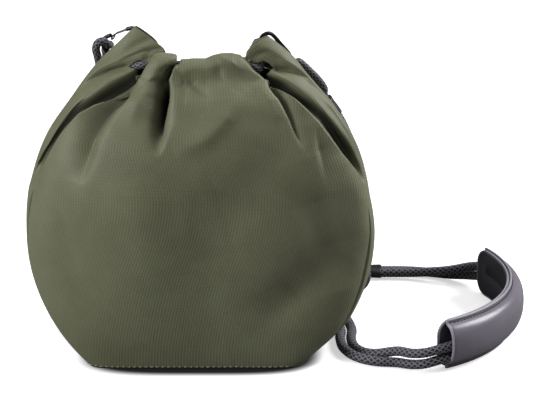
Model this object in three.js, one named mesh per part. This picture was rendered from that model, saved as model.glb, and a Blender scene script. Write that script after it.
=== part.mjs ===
// Drawstring pouch with a rope shoulder strap, each physical piece as its own solid.
// Millimetres, +Z up, the front of the bag faces -Y, the origin is the centre of the flat base.
import * as THREE from 'three';
import { mergeVertices } from 'three/addons/utils/BufferGeometryUtils.js';

// Bag body: half sizes and heights of the outer fabric.
const BASE_HALF_WIDTH = 78;
const BASE_HALF_DEPTH = 50;
const BODY_HALF_WIDTH = 136.5;
const BODY_HALF_DEPTH = 62;
const WIDEST_HEIGHT = 100;
const RIM_HEIGHT = 229.5;
const LEFT_EAR_RISE = 32.5;
const RIGHT_EAR_RISE = 26.5;
const LEFT_EAR_HEIGHT = RIM_HEIGHT + LEFT_EAR_RISE;
const RIGHT_EAR_HEIGHT = RIM_HEIGHT + RIGHT_EAR_RISE;
const EAR_HALF_SPAN = 50;
const NECK_HALF_DEPTH = 14;
const BACK_RIM_DROP = 10;
const BACK_CORNER_RISE = 8;
const FABRIC = 1.0;
const PADDING = 3.0;
const PADDING_TOP = 0.62;
const PADDING_GAP = 0.7;
const BOARD = 2.0;

// The ears are narrow folded ridges over the side seams.
const EAR_SPREAD = 0.2;
const EAR_LEAN = 0.1;
const SIDE_SEAM_ANGLE = 0.451;
const SEAM_GAP = 0.3;

// Gathers under the casing.
const GATHER_START = 0.62;
const GATHER_DEPTH = 3.0;
const GATHER_COUNT = 6;

// Casing and drawstring.
const CASING_RADIUS = 8;
const CASING_BORE_RADIUS = 4.2;
const CASING_HALF_ANGLE = 0.85;
const CASING_PUCKER = 1.2;
const CASING_SEAT = 0.5;
const DRAWSTRING_DIAMETER = 6;

// Wire-gate clips: outer length, half spacing of the two long limbs, rod and wire.
const CLIP_LENGTH = 37;
const CLIP_HALF_SPACING = 6.6;
const CLIP_ROD_DIAMETER = 3.2;
const GATE_WIRE_DIAMETER = 1.2;
const GATE_PIVOT_STATION = 10.5;
const GATE_LENGTH = 14.5;
const GATE_CLEARANCE = 0.3;
const CORD_SEAT = 0.8;

// Strap rope, sleeves and shoulder pad.
const STRAP_DIAMETER = 7.8;
const BIGHT_DIAMETER = 6.4;
const SLEEVE_WALL = 1.2;
const SLEEVE_LENGTH = 22;
const FERRULE_LENGTH = 14;
const PAD_CENTRE = new THREE.Vector2(135, 50);
const PAD_INNER_RADIUS = 110;
const PAD_HEIGHT = 40;
const PAD_FROM = -60;
const PAD_TO = 30.5;
const PAD_OVERHANG = 3.6;
const PAD_CORNER = 12;
const BACKING = 2.4;
const LEATHER = 2.0;
const PAD_MARGIN = 5;
const PAD_CROWN = 9.8;
const PAD_CROWN_SQUARENESS = 4;
const PAD_CORD_RADIUS = 117.4;
const PAD_LOWER_CORD = 11;
const PAD_UPPER_CORD = 19.6;
const FIT_GAP = 0.3;
const BOARD_INSET = 4;
const BASE_PADDING_INSET = 6;
const CORNER_ALLOWANCE = 1.15;
const LINING_START = 0.06;
const LINING_EDGE = 0.02;
const CORD_GAP = 0.6;

const degrees = (value) => (value * Math.PI) / 180;
const point = (x, y, z) => new THREE.Vector3(x, y, z);

const root = new THREE.Group();

function material(color, roughness, metalness = 0) {
  return new THREE.MeshStandardMaterial({ color, roughness, metalness });
}

const ripstop = material(0x646950, 0.75);
const darkRipstop = material(0x565b45, 0.8);
const lining = material(0x54524e, 0.9);
const board = material(0x2c2c2e, 0.7);
const braid = material(0x35353b, 0.8);
const blackMetal = material(0x18181a, 0.35, 0.6);
const steelWire = material(0x8e9094, 0.3, 0.9);
const leather = material(0x6f6a74, 0.5);
const blackWeb = material(0x1d1d20, 0.8);
const shrinkSleeve = material(0x141416, 0.45);

function add(name, geometry, look, parent = root) {
  const mesh = new THREE.Mesh(geometry, look);
  mesh.name = name;
  parent.add(mesh);
  return mesh;
}

// A closed geometry from a list of points and triangles.
function solid(points, triangles) {
  const geometry = new THREE.BufferGeometry();
  geometry.setAttribute('position', new THREE.Float32BufferAttribute(points.flatMap((p) => p.toArray()), 3));
  geometry.setIndex(triangles.flat());
  return mergeVertices(geometry, 1e-4);
}

// Half width of the side outline at a height: a round shoulder over the base, then a long taper.
function halfWidth(z) {
  if (z < WIDEST_HEIGHT) {
    const below = 1 - z / WIDEST_HEIGHT;
    return BODY_HALF_WIDTH - (BODY_HALF_WIDTH - BASE_HALF_WIDTH) * Math.pow(below, 2.8);
  }
  const above = (z - WIDEST_HEIGHT) / (LEFT_EAR_HEIGHT - WIDEST_HEIGHT);
  return BODY_HALF_WIDTH - (BODY_HALF_WIDTH - EAR_HALF_SPAN) * Math.pow(Math.min(above, 1), 2.05);
}

// Half depth of the front and back outline at a height.
function halfDepth(z) {
  if (z < WIDEST_HEIGHT) {
    const below = 1 - z / WIDEST_HEIGHT;
    return BODY_HALF_DEPTH - (BODY_HALF_DEPTH - BASE_HALF_DEPTH) * below * below;
  }
  const above = Math.min((z - WIDEST_HEIGHT) / (RIM_HEIGHT - WIDEST_HEIGHT), 1);
  const closing = Math.pow(1 - Math.pow(above, 2.6), 0.7);
  return NECK_HALF_DEPTH + (BODY_HALF_DEPTH - NECK_HALF_DEPTH) * closing;
}

// Point of the outer fabric: angle runs round the bag from +X, level from 0 at the base to 1 at the rim.
// The plan is a squared oval that softens upwards, and the rim rises into a ridge over each side seam.
function fabricPoint(angle, level, gathered = true) {
  const c = Math.cos(angle);
  const s = Math.sin(angle);
  const towardFront = Math.atan2(-s, Math.abs(c));
  const earHeight = LEFT_EAR_HEIGHT + (RIGHT_EAR_HEIGHT - LEFT_EAR_HEIGHT) * (1 + c) / 2;
  const sideHeight = earHeight * Math.pow(level, 1.12);
  const frontHeight = sideHeight - (earHeight - RIM_HEIGHT) * Math.pow(level, 6);
  const backDrop = BACK_RIM_DROP - (BACK_RIM_DROP + BACK_CORNER_RISE) * Math.pow(Math.abs(c), 4);
  const lowHeight = frontHeight - backDrop * Math.sqrt(Math.max(s, 0)) * Math.pow(level, 8);
  const ridge = Math.exp(-Math.pow((towardFront - EAR_LEAN) / EAR_SPREAD, 2));
  const squareness = 2.5 + 2.5 * Math.pow(1 - level, 4);
  const spread = Math.pow(Math.abs(c), squareness) + Math.pow(Math.abs(s), squareness);
  const reach = Math.pow(spread, -1 / squareness);
  const x = halfWidth(sideHeight) * reach * c;
  let y = halfDepth(frontHeight) * reach * s;
  if (gathered && level > GATHER_START) {
    const growth = Math.pow((level - GATHER_START) / (1 - GATHER_START), 1.5);
    const across = reach * c;
    const fade = Math.max(0, 1 - Math.pow(Math.abs(across) / 0.9, 6));
    y += Math.sign(s) * GATHER_DEPTH * growth * fade * Math.cos(GATHER_COUNT * Math.PI * across);
  }
  return point(x, y, lowHeight + (sideHeight - lowHeight) * ridge);
}

// Point at a depth inside the outer fabric, along its inward normal.
function insidePoint(angle, level, depth) {
  const step = 0.004;
  const high = Math.min(level + step, 1);
  const low = Math.max(level - step, 0);
  const around = fabricPoint(angle + step, level).sub(fabricPoint(angle - step, level));
  const up = fabricPoint(angle, high).sub(fabricPoint(angle, low));
  const outward = around.cross(up).normalize();
  return fabricPoint(angle, level).addScaledVector(outward, -depth);
}

// A sewn panel: the outer and inner faces of a patch of the bag, closed by its four edges.
function panel({ from, to, columns, bottom, top, rows, depth, thickness }) {
  const points = [];
  for (const face of [depth, depth + thickness]) {
    for (let j = 0; j <= rows; j += 1) {
      const level = bottom + (top - bottom) * j / rows;
      for (let i = 0; i <= columns; i += 1) {
        const angle = from + (to - from) * i / columns;
        points.push(insidePoint(angle, level, face));
      }
    }
  }
  const at = (i, j, face) => (face * (rows + 1) + j) * (columns + 1) + i;
  const triangles = [];
  const quad = (a, b, c, d) => triangles.push([a, b, c], [a, c, d]);
  for (let j = 0; j < rows; j += 1) {
    for (let i = 0; i < columns; i += 1) {
      quad(at(i, j, 0), at(i + 1, j, 0), at(i + 1, j + 1, 0), at(i, j + 1, 0));
      quad(at(i, j, 1), at(i, j + 1, 1), at(i + 1, j + 1, 1), at(i + 1, j, 1));
    }
  }
  for (let i = 0; i < columns; i += 1) {
    quad(at(i, 0, 0), at(i, 0, 1), at(i + 1, 0, 1), at(i + 1, 0, 0));
    quad(at(i, rows, 0), at(i + 1, rows, 0), at(i + 1, rows, 1), at(i, rows, 1));
  }
  for (let j = 0; j < rows; j += 1) {
    quad(at(0, j, 0), at(0, j + 1, 0), at(0, j + 1, 1), at(0, j, 1));
    quad(at(columns, j, 0), at(columns, j, 1), at(columns, j + 1, 1), at(columns, j + 1, 0));
  }
  return solid(points, triangles);
}

// A flat plate with the outline of the base, drawn in by an inset.
function basePlate(inset, bottom, thickness) {
  const outline = [];
  const corners = 36;
  for (let i = 0; i < corners; i += 1) {
    const p = fabricPoint((2 * Math.PI * i) / corners, 0);
    outline.push(new THREE.Vector2(p.x, p.y).setLength(Math.hypot(p.x, p.y) - inset * CORNER_ALLOWANCE));
  }
  const plate = { depth: thickness, bevelEnabled: false };
  return new THREE.ExtrudeGeometry(new THREE.Shape(outline), plate).translate(0, 0, bottom);
}

function circle(diameter, sides) {
  const ring = [];
  for (let i = 0; i < sides; i += 1) {
    const turn = (2 * Math.PI * i) / sides;
    ring.push(new THREE.Vector2(Math.cos(turn), Math.sin(turn)).multiplyScalar(diameter / 2));
  }
  return new THREE.Shape(ring);
}

function smooth(points) {
  return new THREE.CatmullRomCurve3(points, false, 'centripetal');
}

function tube(path, diameter, sides, steps) {
  const sweep = { steps, bevelEnabled: false, extrudePath: path };
  return new THREE.ExtrudeGeometry(circle(diameter, sides), sweep);
}

// A sleeve round a path: its bore is round and its outside may vary along and round it.
function sleeve(path, boreRadius, outerRadius, sides, steps) {
  const frames = path.computeFrenetFrames(steps, false);
  const points = [];
  for (let j = 0; j <= steps; j += 1) {
    const centre = path.getPointAt(j / steps);
    for (const wall of ['outer', 'inner']) {
      for (let i = 0; i < sides; i += 1) {
        const turn = (2 * Math.PI * i) / sides;
        const spoke = frames.normals[j].clone().multiplyScalar(Math.cos(turn))
          .addScaledVector(frames.binormals[j], Math.sin(turn));
        const radius = wall === 'outer' ? outerRadius(j / steps, spoke) : boreRadius;
        points.push(centre.clone().addScaledVector(spoke, radius));
      }
    }
  }
  const at = (i, j, wall) => (j * 2 + wall) * sides + (i % sides);
  const triangles = [];
  const quad = (a, b, c, d) => triangles.push([a, b, c], [a, c, d]);
  for (let i = 0; i < sides; i += 1) {
    for (let j = 0; j < steps; j += 1) {
      quad(at(i, j, 0), at(i + 1, j, 0), at(i + 1, j + 1, 0), at(i, j + 1, 0));
      quad(at(i, j, 1), at(i, j + 1, 1), at(i + 1, j + 1, 1), at(i + 1, j, 1));
    }
    quad(at(i, 0, 0), at(i, 0, 1), at(i + 1, 0, 1), at(i + 1, 0, 0));
    quad(at(i, steps, 0), at(i + 1, steps, 0), at(i + 1, steps, 1), at(i, steps, 1));
  }
  return solid(points, triangles);
}

// Outer shell: front and back panels between the side seams, and the gussets with the ears.
const seamTurn = SEAM_GAP / 2 / BODY_HALF_DEPTH;
const frontMiddle = -Math.PI / 2;
const panelHalf = Math.PI / 2 - SIDE_SEAM_ANGLE - seamTurn;
const gussetHalf = SIDE_SEAM_ANGLE - seamTurn;
const shell = { bottom: 0, top: 1, rows: 12, depth: 0, thickness: FABRIC };

function outerShell() {
  const wide = { ...shell, columns: 24 };
  const narrow = { ...shell, columns: 12 };
  const back = -frontMiddle;
  const sewn = (name, patch) => add(name, panel(patch), ripstop);
  sewn('front_panel', { ...wide, from: frontMiddle - panelHalf, to: frontMiddle + panelHalf });
  sewn('back_panel', { ...wide, from: back - panelHalf, to: back + panelHalf });
  sewn('left_gusset', { ...narrow, from: Math.PI - gussetHalf, to: Math.PI + gussetHalf });
  sewn('right_gusset', { ...narrow, from: -gussetHalf, to: gussetHalf });
}

function paddedLining() {
  const depth = FABRIC + PADDING_GAP;
  const pad = { bottom: LINING_START, top: PADDING_TOP, rows: 6, depth, thickness: PADDING };
  const wide = { ...pad, columns: 10 };
  const narrow = { ...pad, columns: 5 };
  const wideHalf = panelHalf - LINING_EDGE;
  const narrowHalf = gussetHalf - LINING_EDGE;
  const padded = (name, patch) => add(name, panel(patch), lining);
  padded('front_padding', { ...wide, from: frontMiddle - wideHalf, to: frontMiddle + wideHalf });
  padded('back_padding', { ...wide, from: -frontMiddle - wideHalf, to: -frontMiddle + wideHalf });
  padded('left_padding', { ...narrow, from: Math.PI - narrowHalf, to: Math.PI + narrowHalf });
  padded('right_padding', { ...narrow, from: -narrowHalf, to: narrowHalf });
}

function base() {
  const boardBottom = FABRIC + FIT_GAP;
  const paddingBottom = boardBottom + BOARD + FIT_GAP;
  add('base_panel', basePlate(FABRIC + FIT_GAP, 0, FABRIC), darkRipstop);
  add('base_board', basePlate(BOARD_INSET, boardBottom, BOARD), board);
  add('base_padding', basePlate(BASE_PADDING_INSET, paddingBottom, PADDING), lining);
}

// The casing runs along the smooth rim, so the panel under it touches its lower side.
function casingCentre(angle) {
  const step = 0.01;
  const rim = fabricPoint(angle, 1, false);
  const along = fabricPoint(angle + step, 1, false).sub(fabricPoint(angle - step, 1, false)).normalize();
  const upward = point(0, 0, 1).addScaledVector(along, -along.z).normalize();
  return rim.addScaledVector(upward, CASING_RADIUS + CASING_SEAT);
}

function casingPath(middle) {
  const stations = [];
  for (let i = 0; i <= 12; i += 1) {
    stations.push(casingCentre(middle + CASING_HALF_ANGLE * (i / 6 - 1)));
  }
  return smooth(stations);
}

// The gathered cloth stands up in puckers on the upper side of the casing only.
function puckered(along, spoke) {
  const upward = Math.max(spoke.z, 0);
  return CASING_RADIUS - CASING_PUCKER * upward * (1 - Math.cos(GATHER_COUNT * 2 * Math.PI * along)) / 2;
}

function casings() {
  add('front_casing', sleeve(casingPath(frontMiddle), CASING_BORE_RADIUS, puckered, 8, 26), ripstop);
  add('back_casing', sleeve(casingPath(-frontMiddle), CASING_BORE_RADIUS, puckered, 8, 20), ripstop);
}

// Each clip has its own frame: x runs along it, y points to its gate, z is square to its ring.
// The frame is placed by the centre of the hook bend, the direction of the clip and which way it faces.
const hookStation = CLIP_HALF_SPACING + CLIP_ROD_DIAMETER / 2;
const farStation = CLIP_LENGTH - hookStation;

function clipFrame(hookCentre, along, facing) {
  const x = along.clone().normalize();
  const z = x.clone().cross(point(0, 0, 1)).normalize().multiplyScalar(facing);
  const y = z.clone().cross(x);
  const origin = hookCentre.clone().addScaledVector(x, -hookStation);
  return new THREE.Matrix4().makeBasis(x, y, z).setPosition(origin);
}

// Each clip hangs just behind and below the tip of its ear.
const hooks = {
  left: fabricPoint(Math.PI + EAR_LEAN, 1, false).add(point(-1.5, 13.4, -10.4)),
  right: fabricPoint(-EAR_LEAN, 1, false).add(point(-4.1, 12.4, -8.3)),
};
const clipFrames = {
  left: clipFrame(hooks.left, point(-0.85, 0.33, -0.41), 1),
  right: clipFrame(hooks.right, point(0.574, 0.3, -0.77), -1),
};
const byHook = (side, x, y, z) => hooks[side].clone().add(point(x, y, z));
const onClip = (side, x, y, z) => point(x, y, z).applyMatrix4(clipFrames[side]);

// Points of a half ring about a station of the clip, from one limb to the other.
function bend(station, startTurn) {
  const points = [];
  for (let i = 0; i <= 8; i += 1) {
    const turn = degrees(startTurn + 22.5 * i);
    const spoke = point(Math.cos(turn), Math.sin(turn), 0).multiplyScalar(CLIP_HALF_SPACING);
    points.push(point(station, 0, 0).add(spoke));
  }
  return points;
}

function clipBody(side) {
  const noseStation = GATE_PIVOT_STATION + GATE_LENGTH - CLIP_ROD_DIAMETER / 4;
  const middle = point((hookStation + farStation) / 2, -CLIP_HALF_SPACING, 0);
  const path = smooth([
    point(GATE_PIVOT_STATION + 1, CLIP_HALF_SPACING, 0), ...bend(hookStation, 90), middle,
    ...bend(farStation, -90), point(noseStation, CLIP_HALF_SPACING, 0),
  ]);
  const rod = tube(path, CLIP_ROD_DIAMETER, 8, 36);
  return add(`${side}_clip_body`, rod.applyMatrix4(clipFrames[side]), blackMetal);
}

// The gate is one bent wire: two legs beside the pivot end and a cross bar under the nose.
function clipGate(side) {
  const legOffset = CLIP_ROD_DIAMETER / 2 + GATE_CLEARANCE + GATE_WIRE_DIAMETER / 2;
  const barDrop = CLIP_ROD_DIAMETER / 2 + GATE_CLEARANCE + GATE_WIRE_DIAMETER;
  const barStation = GATE_PIVOT_STATION + GATE_LENGTH;
  const leg = (hand) => [
    point(GATE_PIVOT_STATION - 1, CLIP_HALF_SPACING, hand * legOffset),
    point(GATE_PIVOT_STATION + 5, CLIP_HALF_SPACING, hand * legOffset),
    point(barStation - 4, CLIP_HALF_SPACING - 0.2, hand * legOffset),
    point(barStation - 1.2, CLIP_HALF_SPACING - barDrop / 2, hand * legOffset),
    point(barStation - 0.1, CLIP_HALF_SPACING - barDrop + 0.3, hand * (legOffset - 0.3)),
    point(barStation, CLIP_HALF_SPACING - barDrop, hand * (legOffset - 1.1)),
  ];
  const wire = tube(smooth([...leg(1), ...leg(-1).reverse()]), GATE_WIRE_DIAMETER, 6, 32);
  return add(`${side}_clip_gate`, wire.applyMatrix4(clipFrames[side]), steelWire);
}

// The drawstring is one closed cord: through both casings and through a clip over each ear.
// Its two ends meet in the middle of the back casing.
function casingRun(middle, from, to) {
  const stations = [];
  for (let i = 0; i <= 4; i += 1) {
    stations.push(casingCentre(middle + CASING_HALF_ANGLE * (from + (to - from) * i / 4)));
  }
  return stations;
}

// A cord bent half way round a rod of the clip: the bend's centre is on the rod and the cord leaves it
// in the direction `away`, with the cord's centre line a fixed reach from the rod.
function hookBend(side, rodX, rodY, away, cordDiameter) {
  const reach = CLIP_ROD_DIAMETER / 2 + CORD_SEAT + cordDiameter / 2;
  const points = [];
  for (let i = -2; i <= 2; i += 1) {
    const turn = degrees(45 * i);
    const inward = -reach * Math.cos(turn);
    points.push(onClip(side, rodX + away.x * inward, rodY + away.y * inward, reach * Math.sin(turn)));
  }
  return points;
}

const hookArcTurn = degrees(120);
const rightHook = new THREE.Vector2(Math.cos(hookArcTurn), Math.sin(hookArcTurn));

function drawstring() {
  const rightRodX = hookStation + rightHook.x * CLIP_HALF_SPACING;
  const rightRodY = rightHook.y * CLIP_HALF_SPACING;
  const rightBend = hookBend('right', rightRodX, rightRodY, rightHook, DRAWSTRING_DIAMETER).reverse();
  const leftHook = new THREE.Vector2(0, -1);
  const leftBend = hookBend('left', hookStation, -CLIP_HALF_SPACING, leftHook, DRAWSTRING_DIAMETER);
  const endTurn = CORD_GAP / 2 / EAR_HALF_SPAN / CASING_HALF_ANGLE;
  const casingEnds = (middle) => [-1, 1].map((hand) => casingCentre(middle + hand * CASING_HALF_ANGLE));
  const [frontLeft, frontRight] = casingEnds(-Math.PI / 2);
  const [backRight, backLeft] = casingEnds(Math.PI / 2);
  const path = smooth([
    ...casingRun(Math.PI / 2, -endTurn, -1),
    backRight.clone().add(point(2.4, -0.4, 1.5)),
    byHook('right', -8.1, 0.6, -8.9), byHook('right', -9.3, 2.3, -5.1),
    ...rightBend,
    byHook('right', -5.1, -9.8, -3.3), byHook('right', -5.1, -13.4, -6.5),
    frontRight.clone().add(point(2.4, 3.3, 0.8)),
    ...casingRun(-Math.PI / 2, 1, -1),
    frontLeft.clone().add(point(-2.5, 1.5, 0.1)), frontLeft.clone().add(point(-3.4, 5.9, 0)),
    byHook('left', 6.7, -11.5, -14.2), byHook('left', 5.2, -7.7, -13.5), byHook('left', 2.3, -6.4, -9.7),
    ...leftBend,
    byHook('left', 6.1, 2, -10.6), byHook('left', 8.1, -0.2, -13.2),
    backLeft.clone().add(point(-3.3, -0.5, 2.2)),
    ...casingRun(Math.PI / 2, 1, endTurn),
  ]);
  add('drawstring', tube(path, DRAWSTRING_DIAMETER, 8, 104), braid);
}

// The strap is one rope laid double: its bight is drawn thinner through the left clip.
function strapBight() {
  const path = smooth([
    byHook('left', -29.5, 9.8, -37.1), byHook('left', -27.4, 8.4, -33),
    byHook('left', -26.6, 5, -24.6), byHook('left', -27.5, 1.6, -16),
    onClip('left', 36.5, 1.8, -10.3), onClip('left', 32.7, 5.5, -10.2), onClip('left', 29, 5.2, -8.3),
    onClip('left', 28.7, 1.4, -4.7), onClip('left', 29.7, 0, 0), onClip('left', 32.4, -0.5, 4.9),
    onClip('left', 35.6, -0.8, 6.4), onClip('left', 38.6, -2.6, 7.2),
    byHook('left', -21.8, 18, -20.6), byHook('left', -23.1, 18.6, -28.8),
    byHook('left', -25.7, 19, -35.6),
  ]);
  add('strap_bight', tube(path, BIGHT_DIAMETER, 8, 48), braid);
}

// Points of a cord inside the shoulder pad, from its near end to its far end.
function padRun(height) {
  const points = [];
  for (let turn = -58; turn <= 32; turn += 15) {
    const spoke = point(Math.cos(degrees(turn)), Math.sin(degrees(turn)), 0).multiplyScalar(PAD_CORD_RADIUS);
    points.push(spoke.add(point(PAD_CENTRE.x, PAD_CENTRE.y, height)));
  }
  return points;
}

function strapStrands() {
  const lower = smooth([
    byHook('left', -30, 10.1, -38), byHook('left', -34.5, 12, -43.3),
    point(-92.5, 25.8, 202.4), point(-104, 29, 186), point(-116, 33, 163),
    point(-125, 35.5, 137), point(-130, 36.5, 110), point(-131.5, 36.5, 83), point(-129, 36, 57),
    point(-127, 42, 30), point(-120, 52, 12), point(-104, 64, 4.2), point(-70, 76, 4.1), point(-20, 82, 4.1),
    point(40, 81, 4.1), point(82, 70, 4.1), point(104, 48, 4.1), point(110.9, 18.4, 4.1),
    point(110, 1.8, 4.1), point(113, -19.9, 4.1), point(122.4, -36, 4.1), point(135.9, -44.3, 4.1),
    point(153.7, -47.3, 4.2), point(165, -54, 5.4), point(174.4, -58, 7.7), point(183, -57.1, 9.8),
    ...padRun(PAD_LOWER_CORD),
    point(229.2, 120, 10.5), point(222, 128.5, 8), point(206, 138, 5), point(190, 144.8, 4.1),
    point(172, 148.6, 4.1), point(155, 149.2, 4.1), point(147.6, 149.2, 4.1),
  ]);
  const upper = smooth([
    byHook('left', -26.2, 19.1, -36.6), byHook('left', -29.5, 20, -42.1),
    point(-87, 33.6, 202.4), point(-97, 36, 186), point(-109, 40, 163),
    point(-118, 43.5, 137), point(-122.5, 45, 110), point(-124, 45, 83), point(-123, 45, 57),
    point(-121, 53, 30), point(-113, 65, 12), point(-97, 76, 4.2), point(-66, 87, 4.1), point(-18, 92, 4.1),
    point(44, 91, 4.1), point(88, 79, 4.1), point(111, 56, 4.1), point(117.5, 35.4, 4.1),
    point(119.8, 18.4, 4.1), point(118.8, 1.8, 4.1), point(120.6, -14.2, 4.1), point(126.6, -26.2, 4.4),
    point(136.3, -36, 6.8),
    point(153.9, -44.2, 12.4), point(165, -53.4, 14.4), point(174.5, -57.8, 16.8), point(183, -57.1, 18.7),
    ...padRun(PAD_UPPER_CORD),
    point(229.2, 119.6, 19.2), point(222, 126, 16.8), point(204.5, 131, 11.5), point(188, 136.4, 8),
    point(172, 139.8, 6), point(155, 140.9, 5.5), point(147.6, 140.9, 5.5),
  ]);
  add('strap_lower', tube(lower, STRAP_DIAMETER, 8, 66), braid);
  add('strap_upper', tube(upper, STRAP_DIAMETER, 8, 64), braid);
}

// A closed body through a row of rings with the same number of points, ordered round the way they travel.
// The flat outline gives the order of the end triangles.
function loft(rings, outline) {
  const sides = rings[0].length;
  const at = (i, j) => j * sides + (i % sides);
  const triangles = [];
  for (let j = 0; j + 1 < rings.length; j += 1) {
    for (let i = 0; i < sides; i += 1) {
      triangles.push([at(i, j), at(i + 1, j), at(i + 1, j + 1)], [at(i, j), at(i + 1, j + 1), at(i, j + 1)]);
    }
  }
  for (const [a, b, c] of THREE.ShapeUtils.triangulateShape(outline, [])) {
    triangles.push([at(c, 0), at(b, 0), at(a, 0)]);
    triangles.push([at(a, rings.length - 1), at(b, rings.length - 1), at(c, rings.length - 1)]);
  }
  return solid(rings.flat(), triangles);
}

// An oval band round cords that lie side by side: wide at its first end and narrow at its last.
function ovalBand(from, to, across, startWidth, endWidth, height) {
  const sides = 12;
  const forward = to.clone().sub(from).normalize();
  const right = across.clone().addScaledVector(forward, -across.dot(forward)).normalize();
  const up = forward.clone().cross(right);
  const outline = circle(2, sides).getPoints();
  const rings = [0, 0.25, 0.5, 0.75, 1].map((t) => {
    const width = startWidth + (endWidth - startWidth) * t * t * (3 - 2 * t);
    return outline.slice(0, sides).map((p) => from.clone().lerp(to, t)
      .addScaledVector(right, p.x * width / 2).addScaledVector(up, p.y * height / 2));
  });
  return loft(rings, outline.slice(0, sides));
}

function spliceSleeve() {
  const bandHeight = STRAP_DIAMETER + 2 * SLEEVE_WALL;
  const pairWidth = 2 * STRAP_DIAMETER + CORD_GAP + 2 * SLEEVE_WALL;
  const rest = bandHeight / 2 + 0.1;
  const geometry = ovalBand(point(147, 145, rest), point(147 - SLEEVE_LENGTH, 145, rest), point(0, 1, 0),
    pairWidth, bandHeight, bandHeight);
  add('splice_sleeve', geometry, shrinkSleeve);
}

// The tail runs from the splice up the right side of the bag to an eye through the right clip.
// The two legs of the eye lie over the shoulder and end in a ferrule behind it.
const tailStart = point(105.1, 25.4, 193.8);
const tailForward = point(0.543, 0.109, -0.833).normalize();
const tailAcross = point(0, 1, 0).addScaledVector(tailForward, -tailForward.y).normalize();
const eyeHalfWidth = (BIGHT_DIAMETER + 1) / 2;

// A point on a leg of the eye at a distance before the ferrule: hand -1 is the front leg.
function eyeLeg(hand, before) {
  const middle = tailStart.clone().addScaledVector(tailForward, -before);
  return middle.addScaledVector(tailAcross, hand * eyeHalfWidth);
}

function tail() {
  const legEnd = 2 * CORD_GAP;
  const eye = smooth([
    eyeLeg(1, legEnd), eyeLeg(1, 6), point(93.5, 28.8, 206.5), point(84, 28, 214.5), point(74.9, 27, 221.3),
    onClip('right', 39, -1, 5.4), onClip('right', 35.4, 0, 5.8), onClip('right', 31.4, 0, 4.3),
    onClip('right', 29.7, 0, 0), onClip('right', 31.4, -0.5, -4.3), onClip('right', 35, -2.5, -6.3),
    point(76.3, 15.5, 230), point(80.3, 17.2, 226.6), point(85, 18.5, 221.5), point(91, 19.4, 215),
    point(97, 20.4, 206.8), eyeLeg(-1, 6), eyeLeg(-1, legEnd),
  ]);
  add('tail_eye', tube(eye, BIGHT_DIAMETER, 8, 44), braid);
  const end = tailStart.clone().addScaledVector(tailForward, FERRULE_LENGTH);
  const eyeWidth = 2 * (eyeHalfWidth + BIGHT_DIAMETER / 2 + SLEEVE_WALL);
  const bandHeight = STRAP_DIAMETER + 2 * SLEEVE_WALL;
  const band = ovalBand(tailStart, end, tailAcross, eyeWidth, bandHeight, bandHeight);
  add('tail_ferrule', band, shrinkSleeve);
  const path = smooth([
    end.clone().addScaledVector(tailForward, CORD_GAP), end.clone().addScaledVector(tailForward, 5),
    point(123.4, 28, 160), point(132.4, 27.5, 134), point(136.8, 28, 107), point(137, 28, 81),
    point(136.5, 36, 56), point(132.5, 58, 32), point(124, 84, 13), point(114, 106, 6),
    point(107.5, 122, 5.3), point(109.5, 137, 5.2), point(117, 143.8, 5.2),
    point(147 - SLEEVE_LENGTH - CORD_GAP, 145, 5.2),
  ]);
  add('tail_cord', tube(path, STRAP_DIAMETER, 8, 40), braid);
}

const padPoint = (turn, radius, height) =>
  point(PAD_CENTRE.x + radius * Math.cos(turn), PAD_CENTRE.y + radius * Math.sin(turn), height);

// Backing of the shoulder pad: a curved band with rounded corners, standing on its edge.
function padBacking() {
  const outerRadius = PAD_INNER_RADIUS + BACKING;
  const from = degrees(PAD_FROM - PAD_OVERHANG);
  const to = degrees(PAD_TO + PAD_OVERHANG);
  const cornerTurn = PAD_CORNER / outerRadius;
  const turns = [];
  for (const t of [0, 0.1, 0.3, 0.6, 1]) turns.push(to - cornerTurn * t);
  const steps = 16;
  for (let i = 1; i < steps; i += 1) {
    turns.push(to - cornerTurn + (from - to + 2 * cornerTurn) * i / steps);
  }
  for (const t of [1, 0.6, 0.3, 0.1, 0]) turns.push(from + cornerTurn * t);
  const rings = turns.map((turn) => {
    const fromEnd = Math.min(to - turn, turn - from, cornerTurn) * outerRadius;
    const inset = PAD_CORNER - Math.sqrt(Math.max(PAD_CORNER ** 2 - (PAD_CORNER - fromEnd) ** 2, 0));
    const low = Math.min(inset, PAD_CORNER * 0.99);
    return [[PAD_INNER_RADIUS, low], [outerRadius, low], [outerRadius, PAD_HEIGHT - low],
      [PAD_INNER_RADIUS, PAD_HEIGHT - low]].map(([radius, height]) => padPoint(turn, radius, height));
  });
  const outline = [[0, 0], [1, 0], [1, 1], [0, 1]].map(([x, y]) => new THREE.Vector2(x, y));
  return add('pad_backing', loft(rings, outline), blackWeb);
}

// Section of the leather face as radius and height: two sewn margins and a crown over the cords.
function leatherSection() {
  const seat = PAD_INNER_RADIUS + BACKING + FIT_GAP + LEATHER / 2;
  const half = PAD_HEIGHT / 2 - PAD_MARGIN;
  const middle = [new THREE.Vector2(seat, 0)];
  const steps = 10;
  for (let i = 0; i <= steps; i += 1) {
    const turn = Math.PI * i / steps;
    const power = 2 / PAD_CROWN_SQUARENESS;
    const rise = Math.pow(Math.sin(turn), power);
    const along = Math.sign(Math.cos(turn)) * Math.pow(Math.abs(Math.cos(turn)), power);
    middle.push(new THREE.Vector2(seat + PAD_CROWN * (i % steps ? rise : 0), PAD_HEIGHT / 2 - half * along));
  }
  middle.push(new THREE.Vector2(seat, PAD_HEIGHT));
  const face = (side) => middle.map((p, k) => {
    const before = middle[Math.max(k - 1, 0)];
    const after = middle[Math.min(k + 1, middle.length - 1)];
    const along = after.clone().sub(before).normalize();
    return p.clone().add(new THREE.Vector2(along.y, -along.x).multiplyScalar(side * LEATHER / 2));
  });
  return [...face(1), ...face(-1).reverse()];
}

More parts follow.
